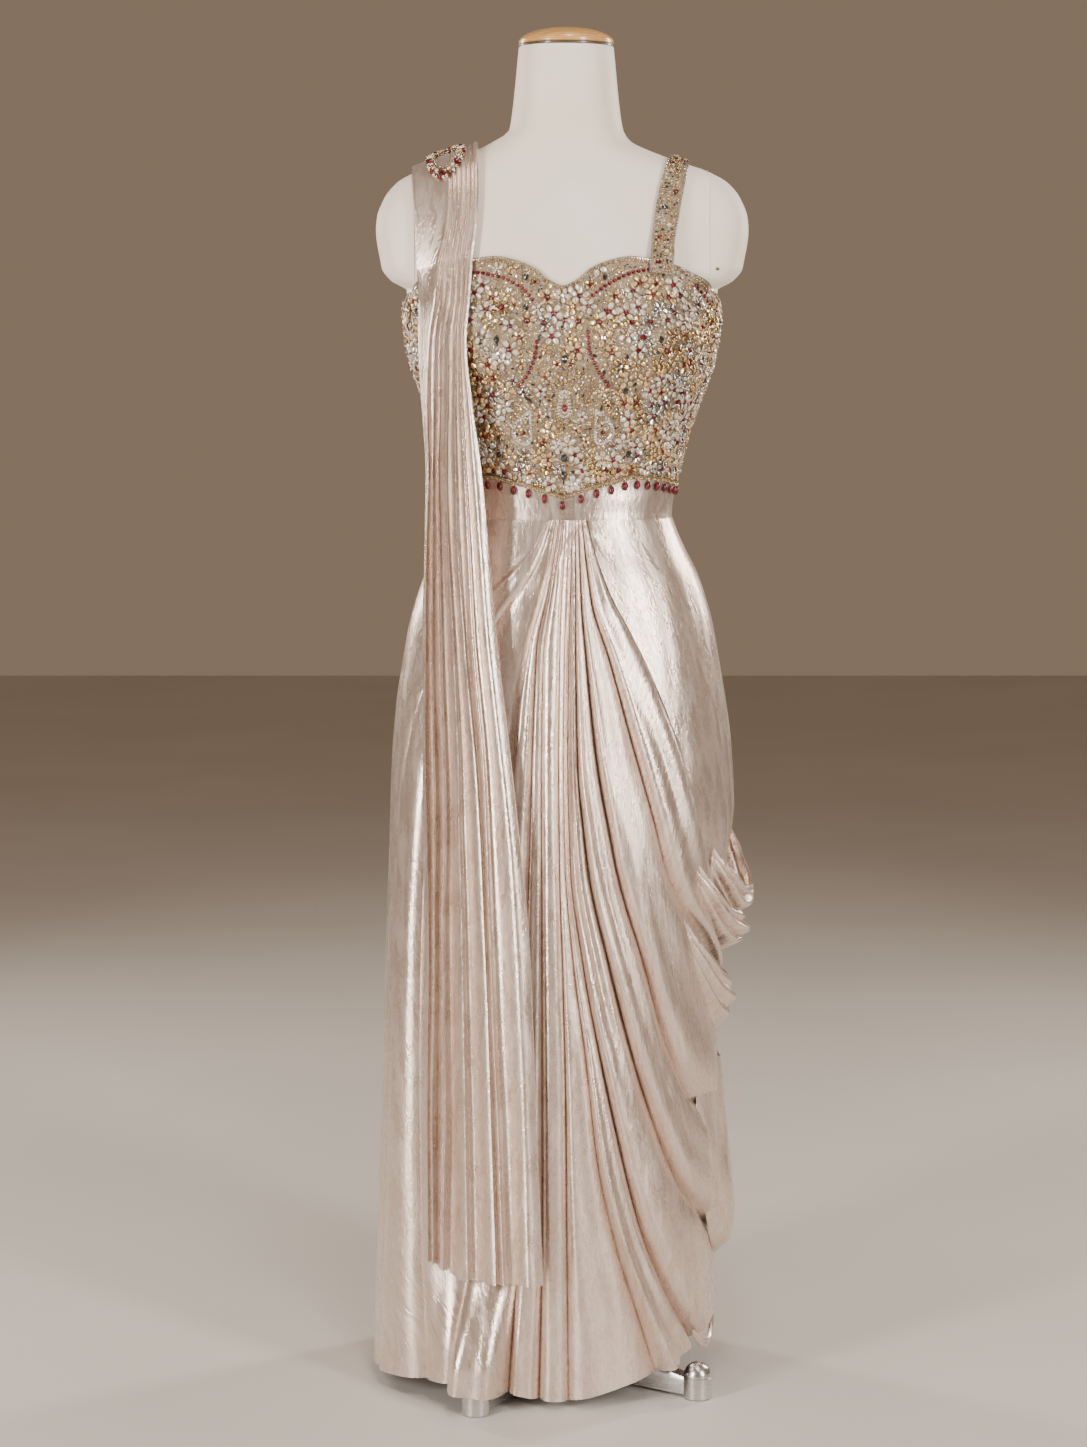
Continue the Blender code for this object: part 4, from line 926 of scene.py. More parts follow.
def foot_and_leg(name, angle, steel):
    """A foot with a groove under its dome, and the flat bar that joins it to the hub."""
    reach = np.array([np.cos(angle), np.sin(angle), 0.0])
    aside = np.array([-reach[1], reach[0], 0.0]) * LEG_HALF_WIDTH
    centre = np.array([STAND_X, STAND_Y, 0.0])
    dome = FOOT_HEIGHT - FOOT_SHOULDER
    profile = [(FOOT_RADIUS * np.sin(step), FOOT_SHOULDER + dome * np.cos(step))
               for step in np.radians(np.linspace(0, 88, 16))]
    profile[0] = (0.0, FOOT_HEIGHT)
    profile += [(FOOT_RADIUS - 0.0008, FOOT_SHOULDER), (FOOT_RADIUS - 0.0008, FOOT_SHOULDER - 0.0007),
                (FOOT_RADIUS, FOOT_SHOULDER - 0.0012), (FOOT_RADIUS, 0.001),
                (FOOT_RADIUS - 0.001, 0.0), (0.0, 0.0)]
    foot = turned("foot_" + name, profile, tuple(centre + reach * FOOT_REACH), steel)
    dress(foot, "stand_steel", "stand_leg_" + name)
    ends = []
    stops = ((HUB_RADIUS + SEAM, LEG_TOP_AT_HUB), (FOOT_REACH - 0.010, LEG_TOP_AT_FOOT - 0.003))
    for distance, high in stops:
        middle = centre + reach * distance
        section = []
        for across, level in ((-1, 0.0), (1, 0.0), (1, 0.7), (0.93, 0.93), (0.8, 1.0), (-0.8, 1.0),
                              (-0.93, 0.93), (-1, 0.7)):
            lift = np.array([0.0, 0.0, LEG_CLEARANCE + (high - LEG_CLEARANCE) * level])
            section.append(middle + aside * across + lift)
        ends.append(section)
    bar = loft("leg_bar_" + name, np.array(ends), steel)
    dress(bar, "stand_steel")


# Beadwork

Bead = namedtuple("Bead", "place normal along length width kind")


def bead_shape(sides, levels):
    """Points (along, aside, up) and faces of a closed bead: rings of (radius, up) and two tips."""
    points = [(0.0, 0.0, -0.45)]
    for radius, up in levels[:-1]:
        for step in range(sides):
            angle = 2 * np.pi * step / sides
            points.append((radius * np.cos(angle), radius * np.sin(angle), up))
    points.append((0.0, 0.0, levels[-1][1]))
    faces = []
    last = len(points) - 1
    for step in range(sides):
        following = (step + 1) % sides
        faces.append((0, 1 + following, 1 + step))
        for level in range(len(levels) - 2):
            low, high = 1 + level * sides, 1 + (level + 1) * sides
            faces.append((low + step, low + following, high + following, high + step))
        faces.append((last - sides + step, last - sides + following, last))
    return np.array(points), faces


SEED_BEAD = bead_shape(6, ((1.0, 0.1), (0.0, 0.95)))
STONE = bead_shape(10, ((1.0, 0.0), (0.72, 0.5), (0.0, 0.78)))
SEQUIN = bead_shape(9, ((1.0, 0.05), (0.55, 0.24), (0.0, 0.14)))
STONE_SIZE = 0.0021


def beads_object(name, beads, coats, faceted=()):
    """All the beads as one mesh. Beads of the faceted kinds have flat faces, as cut stones do."""
    points, faces, which, flat = [], [], [], []
    start = 0
    for bead in beads:
        template, shapes = STONE if bead.length > STONE_SIZE else SEED_BEAD
        if bead.kind >= FLAT:
            template, shapes = SEQUIN
        normal = np.asarray(bead.normal)
        along = np.asarray(bead.along) - normal * np.dot(bead.along, normal)
        along = along / np.linalg.norm(along)
        aside = np.cross(normal, along)
        tall = min(bead.length, bead.width)
        axes = np.stack([along * bead.length, aside * bead.width, normal * tall])
        points.append(template @ axes + bead.place)
        faces += [tuple(corner + start for corner in shape) for shape in shapes]
        which += [bead.kind % FLAT] * len(shapes)
        flat += [bead.kind in faceted] * len(shapes)
        start += len(template)
    return new_object(name, np.concatenate(points), faces, coats, None, which, np.array(flat))


def on_bodice(across, height):
    """The turn of a place on the front of the bodice."""
    across = np.asarray(across, float)
    turn = turn_at(FIGURE, across, height)
    for _ in range(3):
        reached = ring(FIGURE, turn, height)[..., 0]
        reached = np.where(np.abs(reached) > 1e-4, reached, across)
        turn = turn_at(FIGURE, across * across / reached, height)
    return turn


def spaced(line, gap):
    """Places at equal gaps along a line of (across, height) points, and the angle there."""
    line = np.array(line)
    length = travel(line)
    at = np.arange(gap / 2, length[-1], gap)
    places = np.stack([smooth_curve(length, line[:, axis], at) for axis in range(2)], axis=1)
    ahead = np.stack([smooth_curve(length, line[:, axis], at + 1e-4) for axis in range(2)], axis=1)
    angle = np.arctan2(ahead[:, 1] - places[:, 1], ahead[:, 0] - places[:, 0])
    return [(place[0], place[1], turn) for place, turn in zip(places, angle)]


def polar(across, height, radius, angle):
    """A place on the bodice at a distance from another, in a direction."""
    return across + radius * np.cos(angle), height + radius * np.sin(angle)


def rosette(across, height, spin, scale, petal, centre):
    """A stone with a few tilted petals round it, and a curl of small silver beads."""
    spots = [Spot(across, height, spin, 0.0030 * scale, 0.0029 * scale, centre)]
    for step in range(5):
        angle = spin + 2 * np.pi * step / 5
        radius = 0.0056 * scale
        spots.append(Spot(*polar(across, height, radius, angle), angle, 0.0041 * scale,
                          0.0029 * scale, petal + FLAT))
    for step in np.linspace(0, 1, 11):
        angle = spin + 0.5 + 4.0 * step
        radius = (0.0078 + 0.0022 * step) * scale
        spots.append(Spot(*polar(across, height, radius, angle), angle + np.pi / 2, 0.0012, 0.0008,
                          SILVER))
    return spots


def paisley(across, height, side):
    """A bent teardrop outlined in pearl and silver, with a stone and petals inside."""
    spots = []
    for scale, count, kind in ((1.0, 40, PEARL), (0.84, 38, SILVER)):
        for step in range(count):
            t = 2 * np.pi * step / count
            up = -0.0190 * np.cos(t)
            wide = 0.0128 * np.sin(t) * np.sin(t / 2) ** 0.8
            bend = side * 0.0065 * (up / 0.0190 - 0.2) ** 2
            spots.append(Spot(across + scale * (wide - bend), height - scale * up, t, 0.0018, 0.0017,
                              kind))
    spots.append(Spot(across - side * 0.002, height - 0.006, 0.0, 0.0027, 0.0024, GARNET))
    for step in range(6):
        angle = 2 * np.pi * step / 6
        spots.append(Spot(*polar(across - side * 0.002, height + 0.002, 0.0045, angle), angle, 0.0026,
                          0.0016, (CHAMPAGNE, PEARL)[step % 2] + FLAT))
    return spots


def centre_drop():
    """The long pearl drop at the centre front, with a garnet on it and gold rays round it."""
    across, height = TEARDROP
    spots = [Spot(across, height - 0.004, np.pi / 2, 0.0042, 0.0034, GARNET)]
    for scale, count, kind in ((0.55, 16, PEARL), (0.80, 24, PEARL), (1.02, 34, SILVER),
                               (1.24, 36, GOLD)):
        for step in range(count):
            t = 2 * np.pi * step / count
            wide = 0.0095 * scale * np.sin(t) * np.sin(t / 2) ** 0.5
            size = 0.0021 if kind == PEARL else 0.0013
            spots.append(Spot(across + wide, height + 0.001 + 0.0185 * scale * np.cos(t), t,
                              size, size * 0.9, kind))
    for step in range(17):
        angle = np.radians(-20 + 220 * step / 16)
        for reach in (0.0150, 0.0185):
            spots.append(Spot(across + reach * 1.05 * np.cos(angle),
                              height + 0.004 + reach * 1.35 * np.sin(angle), angle, 0.0021, 0.0011,
                              (GOLD, CHAMPAGNE)[step % 2] + FLAT))
    return spots


def motif_spots():
    """What has a place of its own on the front of the bodice."""
    spots = centre_drop()
    for across, height, side in PAISLEYS:
        spots += paisley(across, height, side)
    for line in GARNET_LINES:
        spots += [Spot(x, z, turn, 0.0027, 0.0024, GARNET)
                  for x, z, turn in spaced(line, GARNET_PITCH)]
    for across, height, size in JET_DROPS:
        spots.append(Spot(across, height, np.pi / 2, size, size * 0.72, JET))
    return spots


def bodice_frame(turn, height):
    """Place, outward direction and upward direction on the beaded cloth."""
    place = surface(FIGURE, turn, height, BODICE_OUT)
    out = unit(surface(FIGURE, turn, height, BODICE_OUT + 0.01) - place)
    up = unit(surface(FIGURE, turn, height + 0.004, BODICE_OUT) - place)
    return place, out, up


def around_scale():
    """Distance round the bodice by turn, at the level of the cups."""
    turn = np.linspace(-180, 180, 721)
    length = travel(ring(FIGURE, turn, CUP_LEVEL + 0 * turn))
    return turn, length - length[360]


def hexes(length, pitch, jitter, seed):
    """Jittered places (arc, height) at an even pitch over the whole bodice."""
    rng = np.random.default_rng(seed)
    rows = []
    for step, level in enumerate(np.arange(FIELD_BOTTOM, FIELD_TOP, pitch * HEX_RISE)):
        at = np.arange(length[0], length[-1], pitch) + (step % 2) * pitch / 2
        rows.append(np.stack([at, level + 0 * at], axis=1))
    field = np.concatenate(rows)
    return field + rng.normal(0, pitch * jitter, field.shape)


def tree_of(spots, arcs_of):
    """A search tree over spots, by arc and height."""
    tree = KDTree(len(spots))
    for number, (arc, spot) in enumerate(zip(arcs_of, spots)):
        tree.insert(Vector((arc, spot.height, 0.0)), number)
    tree.balance()
    return tree


def bodice_spots(turns, length):
    """Motifs, then rosettes between them, as spots whose across is a distance round the body."""
    rng = np.random.default_rng(5)
    motifs = motif_spots()
    motif_turn = on_bodice([spot.across for spot in motifs], np.array([spot.height for spot in motifs]))
    motifs = [spot._replace(across=float(np.interp(turn, turns, length)))
              for spot, turn in zip(motifs, motif_turn)]
    tree = tree_of(motifs, [spot.across for spot in motifs])
    spots = list(motifs)
    for arc, height in hexes(length, ROSETTE_PITCH, 0.12, 6):
        _, _, distance = tree.find(Vector((arc, height, 0.0)))
        if distance < ROSETTE_CLEAR:
            continue
        small = 0.66 if distance < ROSETTE_TIGHT else 1.0
        petal = (CHAMPAGNE, PEARL, GOLD, CHAMPAGNE, SILVER, PEARL)[rng.integers(0, 6)]
        centre = (GARNET, GARNET, GOLD, GARNET, SILVER, GARNET)[rng.integers(0, 6)]
        size = small * rng.uniform(0.96, 1.24)
        spots += rosette(arc, height, rng.uniform(0, 6.3), size, petal, centre)
    return spots


def bodice_beads():
    """(turn, height, angle, length, width, kind) of every bead of the bodice."""
    rng = np.random.default_rng(8)
    turns, length = around_scale()
    spots = bodice_spots(turns, length)
    tree = tree_of(spots, [spot.across for spot in spots])
    found = [(np.interp(spot.across, length, turns),) + tuple(spot[1:]) for spot in spots]
    field = hexes(length, FIELD_PITCH, 0.16, 7)
    kinds = rng.choice(KINDS, len(field), p=FIELD_SHARES)
    sizes = rng.choice(SEED_SIZES, len(field), p=SEED_SHARES)
    swirl = noise(field[:, 0] / 0.022, field[:, 1] / 0.022, 3) * 3.1
    for number, (arc, height) in enumerate(field):
        _, near, distance = tree.find(Vector((arc, height, 0.0)))
        if distance < spots[near].width * 0.9 + sizes[number] * 0.4:
            continue
        found.append((np.interp(arc, length, turns), height, swirl[number], sizes[number] * 1.5,
                      sizes[number] * 0.8, kinds[number]))
    table = np.array(found)
    around = np.abs(table[:, 0])
    inside = table[:, 1] < edge_height(NECKLINE, around) - 0.0065
    inside &= table[:, 1] > edge_height(BODICE_HEM, around) + 0.0050
    inside &= around < CLOSURE_TURN
    borders = []
    for inset, gap, size, kind in ((0.0016, 0.0027, 0.0013, SILVER), (0.0046, 0.0034, 0.0016, GOLD)):
        edge_turn = np.interp(np.arange(length[0], length[-1], gap), length, turns)
        neck = edge_height(NECKLINE, edge_turn) - inset
        hem = edge_height(BODICE_HEM, edge_turn) + inset - 0.0004
        for at, high, low in zip(edge_turn, neck, hem):
            borders.append((at, high, 0.0, size, size, kind))
            borders.append((at, low, 0.0, size, size, kind))
    return np.concatenate([table[inside], borders])


def bead_list(table):
    """Beads in the room from rows of turn, height, angle, length, width and kind."""
    rng = np.random.default_rng(9)
    place, out, up = bodice_frame(table[:, 0], table[:, 1])
    aside = np.cross(up, out)
    along = aside * np.cos(table[:, 2])[:, None] + up * np.sin(table[:, 2])[:, None]
    flat = table[:, 5] >= FLAT
    tilt = rng.normal(0, 0.30, out.shape) * flat[:, None]
    normal = unit(out + tilt)
    place = place + out * np.where(flat, 0.0012, 0.0)[:, None]
    return [Bead(place[n], normal[n], along[n], table[n, 3], table[n, 4], int(table[n, 5]))
            for n in range(len(table))]


def panel_grid(left_edge, right_edge, columns, rows):
    """Turns and heights over a bodice panel between two edges that are given by height."""
    share = np.linspace(0, 1, columns)[None, :]
    down = np.linspace(1, 0, rows)[:, None]
    turn = left_edge(1.15) + (right_edge(1.15) - left_edge(1.15)) * share + 0 * down
    for _ in range(4):
        top = edge_height(NECKLINE, turn)
        hem = edge_height(BODICE_HEM, turn)
        height = hem + (top - hem) * down
        turn = left_edge(height) + (right_edge(height) - left_edge(height)) * share
    return turn, height


def bodice(net, coats):
    """The five beaded panels and the beads on each."""
    gap = PANEL_GAP

    def princess(side, offset):
        return lambda height: side * read(PRINCESS_SEAM, "turn", "height", height) + offset

    def upright(turn):
        return lambda height: turn + 0 * np.asarray(height)

    panels = (
        ("bodice_front_centre", princess(-1, gap), princess(1, -gap), 40, 56),
        ("bodice_front_left", princess(1, gap), upright(UNDERARM_TURN), 52, 56),
        ("bodice_front_right", upright(-UNDERARM_TURN), princess(-1, -gap), 52, 56),
        ("bodice_back_left", upright(UNDERARM_TURN + 3 * gap), upright(CLOSURE_TURN), 44, 40),
        ("bodice_back_right", upright(-CLOSURE_TURN), upright(-UNDERARM_TURN - 3 * gap), 44, 40),
    )
    table = bodice_beads()
    for name, left_edge, right_edge, columns, levels in panels:
        turn, height = panel_grid(left_edge, right_edge, columns, levels)
        inside = surface(FIGURE, turn, height, EASE)
        outside = surface(FIGURE, turn, height, BODICE_OUT)
        across, down = arcs(outside)
        piece = wall(name + "_net", inside, outside, across, down, net)
        dress(piece, "beadwork", name)
        mine = (table[:, 0] > left_edge(table[:, 1])) & (table[:, 0] < right_edge(table[:, 1]))
        beads = bead_list(table[mine])
        dress(beads_object(name + "_beads", beads, coats, (SILVER, GARNET, JET)), "beadwork")


def strap_frame(lean, share):
    """Places on the inner and outer faces of the strap, by lean and by share of its width."""
    backwards = STRAP[::-1]
    centre = read(backwards, "across", "lean", lean)
    width = read(backwards, "width", "lean", lean)
    out = read(backwards, "out", "lean", lean)
    across = centre + width * share
    inside = over_shoulder(across, lean, out)
    outside = over_shoulder(across, lean, out + CLOTH)
    return inside, outside


def strap_and_patch(net, coats):
    """The beaded strap, and the oval of large beads that holds the pleats on the other shoulder."""
    lean = np.linspace(STRAP[0].lean, STRAP[-1].lean, 110)[:, None]
    share = np.linspace(-0.5, 0.5, 16)[None, :]
    inside, outside = strap_frame(*np.broadcast_arrays(lean, share))
    across, down = arcs(outside)
    piece = wall("shoulder_strap_net", inside, outside, across, down, net)
    dress(piece, "beadwork", "shoulder_strap_left")
    rng = np.random.default_rng(21)
    lean, share, sizes, kinds = [], [], [], []
    for at in np.linspace(STRAP[0].lean - 0.5, STRAP[-1].lean + 0.5, 108):
        for place in np.linspace(-0.47, 0.47, 8):
            border = abs(place) > 0.45
            lean.append(at + (0 if border else rng.normal(0, 0.25)))
            share.append(place + (0 if border else rng.normal(0, 0.02)))
            kinds.append(SILVER if border else rng.choice(KINDS, p=FIELD_SHARES))
            sizes.append(0.0013 if border else rng.choice((0.0014, 0.0018)))
    for row, at in enumerate(np.arange(68, -100, -8.0)):
        lean.append(at)
        share.append((-0.18, 0.18)[row % 2])
        kinds.append((GARNET, CHAMPAGNE, GARNET, PEARL, JET)[row % 5])
        sizes.append(0.0031)
    lean, share = np.array(lean), np.array(share)
    _, places = strap_frame(lean, share)
    _, beyond = strap_frame(lean + 0.4, share)
    inside, _ = strap_frame(lean, share)
    out = unit(places - inside)
    along = unit(beyond - places)
    beads = [Bead(places[n], out[n], along[n], sizes[n], sizes[n], int(kinds[n]))
             for n in range(len(lean))]
    dress(beads_object("shoulder_strap_beads", beads, coats, (SILVER, GARNET, JET)), "beadwork")
    patch(coats)


def patch(coats):
    """Three ovals of beads, each of two domes back to back, and one large garnet."""
    top = PALLU_GAP + CLOTH + PALLU_SHOULDER[4].rise + SEAM
    beads = []
    for scale, count, size, kinds, lift in (
            (1.06, 34, 0.0023, (SILVER, GARNET, GOLD), 0.0020),
            (0.90, 24, 0.0029, (PEARL, CHAMPAGNE, SILVER, GARNET), 0.0026),
            (0.74, 22, 0.0019, (GOLD, SILVER), 0.0018)):
        angle = np.linspace(0, 2 * np.pi, count, endpoint=False)
        across = PATCH_ACROSS + PATCH_HALF_WIDTH * scale * np.cos(angle)
        lean = PATCH_LEAN - 2 + PATCH_SHARE * PATCH_HALF_LEAN * scale * np.sin(angle)
        places = over_shoulder(across, lean, top + lift)
        out = unit(over_shoulder(across, lean, top + lift + 0.01) - places)
        for number in range(count):
            beads.append(Bead(places[number], out[number], ALONG_PATCH, size, size,
                              kinds[number % len(kinds)]))
            beads.append(Bead(places[number] - out[number] * size * 0.9, -out[number], ALONG_PATCH,
                              size, size, kinds[number % len(kinds)]))
    lean = PATCH_LEAN + PATCH_GARNET * PATCH_HALF_LEAN
    place = over_shoulder(PATCH_ACROSS, lean, top + 0.002)
    out = unit(over_shoulder(PATCH_ACROSS, lean, top + 0.012) - place)
    beads.append(Bead(place, out, ALONG_PATCH, 0.0036, 0.0036, GARNET))
    piece = beads_object("shoulder_patch_beads", beads, coats, (GARNET, JET))
    dress(piece, "beadwork", "shoulder_patch")


def drop_edging(garnet, gold, net):
    """A row of garnet drops under the hem on a narrow strip, with gold beads above them."""
    turn = np.linspace(-CLOSURE_TURN, CLOSURE_TURN, 361)[None, :]
    down = np.linspace(0, 1, 5)[:, None]
    start = EASE + BEADED + BOSS + SEAM
    hem = edge_height(BODICE_HEM, turn)
    height = hem + EDGING_STRIP * (0.5 - down)
    inside = surface(FIGURE, turn + 0 * down, height, start)
    outside = surface(FIGURE, turn + 0 * down, height, start + 0.0009)
    across, length = arcs(outside)
    strip = wall("drop_edging_strip", inside, outside, across, length, net)
    dress(strip, "beadwork", "bead_drop_edging")
    share = (np.arange(DROPS) + 1.0) / DROPS
    turn = -CLOSURE_TURN + 2 * CLOSURE_TURN * share
    hem = edge_height(BODICE_HEM, turn)
    beads = []
    middle = hem - 0.5 * EDGING_STRIP - 0.52 * DROP_LENGTH
    place = surface(FIGURE, turn, middle, start + 0.0012)
    out = unit(surface(FIGURE, turn, middle, start + 0.02) - place)
    up = unit(surface(FIGURE, turn, middle + 0.004, start + 0.0012) - place)
    for n in range(DROPS):
        beads.append(Bead(place[n], out[n], up[n], 0.0052, 0.0036, 0))
        beads.append(Bead(place[n], -out[n], up[n], 0.0049, 0.0033, 0))
        beads.append(Bead(place[n] + up[n] * 0.0062, out[n], up[n], 0.0017, 0.0014, 1))
    turn = np.linspace(-CLOSURE_TURN + 0.4, CLOSURE_TURN - 0.4, 300)
    hem = edge_height(BODICE_HEM, turn) - 0.0004
    place = surface(FIGURE, turn, hem, start + 0.0009)
    out = unit(surface(FIGURE, turn, hem, start + 0.02) - place)
    for n in range(len(turn)):
        beads.append(Bead(place[n], out[n], [0, 0, 1], 0.0014, 0.0013, 1))
    dress(beads_object("drop_edging_beads", beads, [garnet, gold]), "garnet_beads")


# The cloth


def crumple(arc, along, seed, fine=1.0):
    """Small uneven ripples that run along the cloth, in metres."""
    broad = noise(arc / 0.030, along / 0.16, seed) * 0.0009
    close = noise(arc / 0.011, along / 0.07, seed + 1) * 0.00045
    return fine * (broad + close)


def fold_lines(shares):
    """The turn and height of each fold's valley, at shares of its length."""
    turns, heights = [], []
    for fold in FOLDS:
        across = np.array([place[0] for place in fold.route])
        height = np.array([place[1] for place in fold.route])
        turn = turn_at(SKIRT, across, height)
        length = travel(ring(SKIRT, turn, height))
        turns.append(smooth_curve(length / length[-1], turn, shares))
        heights.append(smooth_curve(length / length[-1], height, shares))
    return np.array(turns), np.array(heights)


def arch(s, crest, sharp):
    """A fold's section: 0 at its two valleys and 1 at its crest."""
    bent = np.where(s < crest, 0.5 * s / crest, 0.5 + 0.5 * (s - crest) / (1 - crest))
    return np.sin(np.pi * bent) ** sharp


def front_drape(coat):
    """The pleated front that fans out from the knot at the waist."""
    shares = np.linspace(0, 1, 230) ** 1.15
    turns, heights = fold_lines(shares)
    places = ring(SKIRT, turns, heights)
    columns = []
    for index, fold in enumerate(FOLDS[:-1]):
        sweeping = fold.name not in CREST and fold.name != "centre pleat"
        rise = smooth_curve((0, 0.45, 1), (fold.top, fold.middle, fold.end), shares)
        flare = np.clip((FLARE_TOP - heights[index]) / (FLARE_TOP - FLARE_FULL), 0, 1)
        flare = flare * flare * (3 - 2 * flare)
        width = np.linalg.norm(places[index + 1] - places[index], axis=-1)
        if fold.name == "first pleat":
            rise = FIRST_PLEAT + (fold.end - FIRST_PLEAT) * flare
        elif sweeping:
            rise = np.minimum(rise * (SWEEP_GROWTH + 0.35 * shares), STEEP * width)
        else:
            rise = np.minimum(rise, STEEPEST * width)
        lift = [each.lift * (flare if each.name in FLARED else 1.0)
                for each in FOLDS[index:index + 2]]
        crest = CREST.get(fold.name, SWEEP_CREST)
        steps = PLAIN_STEPS if fold.name in CREST else FOLD_STEPS
        if index == 0:
            steps = tuple(step / 26 for step in range(26))
        for s in steps:
            shape = arch(np.float64(s), crest, FOLD_ROUNDNESS)
            tuck = (0.11 + 0.10 * noise(shares * 4, 0 * shares, 20 + index)) * np.sin(3 * np.pi * s)
            if sweeping:
                tuck = tuck * 1.5 + 0.06 * np.sin(7 * np.pi * s) * noise(shares * 6, s + 0 * shares, 60)
            columns.append((turns[index] + (turns[index + 1] - turns[index]) * s,
                            heights[index] + (heights[index + 1] - heights[index]) * s,
                            rise * shape * (1 + tuck) + lift[0] * (1 - s) + lift[1] * s))
    columns.append((turns[-1], heights[-1], FOLDS[-1].lift + 0 * shares))
    grid = np.array(columns)
    turn, height, rise = grid[:, 0].T, np.minimum(grid[:, 1].T, SKIRT_TOP), grid[:, 2].T
    fade = np.clip((SKIRT_TOP - height) / 0.03, 0, 1)
    rise = rise + crumple(turn * SKIRT_ARC, height, 31) * fade + knot_creases(turn, height)
    piece = cloth_wall("skirt_front_drape_cloth", SKIRT, turn, height, rise, coat)
    dress(piece, "foil_jersey", "skirt_front_drape")


def knot_creases(turn, height):
    """Fine creases that spread from the knot at the top of the front."""
    across = (turn - KNOT_TURN) * KNOT_ARC
    fall = KNOT_HEIGHT - height
    angle = np.arctan2(across, np.maximum(fall, 0.0005))
    reach = np.hypot(across, fall)
    strength = np.clip(reach / 0.012, 0, 1) * np.exp(-((reach / 0.085) ** 2))
    return 0.0016 * noise(angle * 7.0, reach / 0.09, 45) * strength


def hip_panel(coat):
    """The plain panel over the wearer's left hip, between the drape's edge and the side seam."""
    turns, heights = fold_lines(np.linspace(0, 1, 200))
    height = np.linspace(SKIRT_TOP, HIP_BOTTOM, 110)[:, None]
    start = np.interp(height, heights[-1][::-1], turns[-1][::-1]) + 0.9
    share = np.linspace(0, 1, 44)[None, :]
    turn = start + (SEAM_TURN - start) * share
    height = height + 0 * share
    ease = crumple(turn * SKIRT_ARC, height, 41, 0.7)
    tension = 0.0010 * np.sin((height - 0.02 * share) / 0.018) * np.clip((height - 0.90) / 0.1, 0, 1)
    edge = 0.0035 * np.exp(-(((SEAM_TURN - 4 - turn) / 2.6) ** 2)) * np.clip((0.86 - height) / 0.1, 0, 1)
    rise = 0.0004 + ease + tension + edge + knot_creases(turn, height)
    piece = cloth_wall("skirt_hip_panel_cloth", SKIRT, turn, height, rise, coat)
    dress(piece, "foil_jersey", "skirt_hip_panel")


def back_panel(name, start, stop, hem_start, hem_stop, coat):
    """Half of the skirt's back, with soft folds that deepen towards the hem."""
    share = np.linspace(0, 1, 84)[None, :]
    down = np.linspace(0, 1, 96)[:, None]
    turn = start + (stop - start) * share + 0 * down
    hem = hem_start + (hem_stop - hem_start) * share
    height = SKIRT_TOP - (SKIRT_TOP - hem) * down
    waves = 0.5 - 0.5 * np.cos(2 * np.pi * BACK_FOLDS * share)
    ripple = 0.0012 * np.sin(2 * np.pi * BACK_RIPPLES * share) * down
    rise = BACK_RISE * waves * down**1.5 + ripple * waves
    rise = rise + crumple(turn * SKIRT_ARC, height, 51) * down**0.3
    piece = cloth_wall(name + "_cloth", SKIRT, turn, height, rise, coat)
    dress(piece, "foil_jersey", name)


def waistband(coat):
    """The plain band between the skirt and the beaded hem, drawn tight round the waist."""
    down = np.linspace(1, 0, 16)[:, None]
    bottom = WAIST_SEAM - 0.0022
    for name, start, stop, cut in WAISTBANDS:
        turn = np.linspace(start, stop, 90)[None, :] + 0 * down
        around = np.where(turn > 180, 360 - turn, np.abs(turn))
        top = edge_height(BODICE_HEM, around) - 2 * SEAM
        height = bottom + (top - bottom) * down
        tight = 0.5 + 0.5 * noise(turn / 26, height / 0.0065, 61)
        outer = EASE + CLOTH + 0.0007 * tight + 0.0002
        outside = surface(FIGURE, turn, height, outer)
        inside = surface(FIGURE, turn, height, outer - THIN)
        across, length = arcs(outside)
        piece = wall(name + "_cloth", inside, outside, across, length, coat)
        dress(piece, "foil_jersey", name)


def pallu_section(ridges, left, right, rise):
    """Places across a row of knife pleats, and how far each stands out, between its two edges."""
    across = [left + (ridges[0] - left) * s for s in np.linspace(0, 0.92, 14)]
    high = [rise * (0.05 + 0.45 * s + 0.03 * np.sin(9 * s)) for s in np.linspace(0, 0.92, 14)]
    steps = np.array([0.0, 0.07, 0.15, 0.26, 0.4, 0.55, 0.7, 0.85, 0.94])
    drops = np.array([0.0, 0.55, 0.93, 1.0, 0.92, 0.68, 0.38, 0.10, 0.01])
    for near, far in zip(ridges[:-1], ridges[1:]):
        depth = np.minimum(rise, 0.85 * (far - near))
        for s, share in zip(steps, drops):
            across.append(near + (far - near) * s)
            high.append(rise - depth * share)
    for s in np.linspace(0, 1, 10):
        across.append(ridges[-1] + (right - ridges[-1]) * s)
        high.append(rise * (1.0 - 0.8 * s**1.5))
    return np.stack(across, axis=1), np.stack([0 * rise + each for each in high], axis=1)


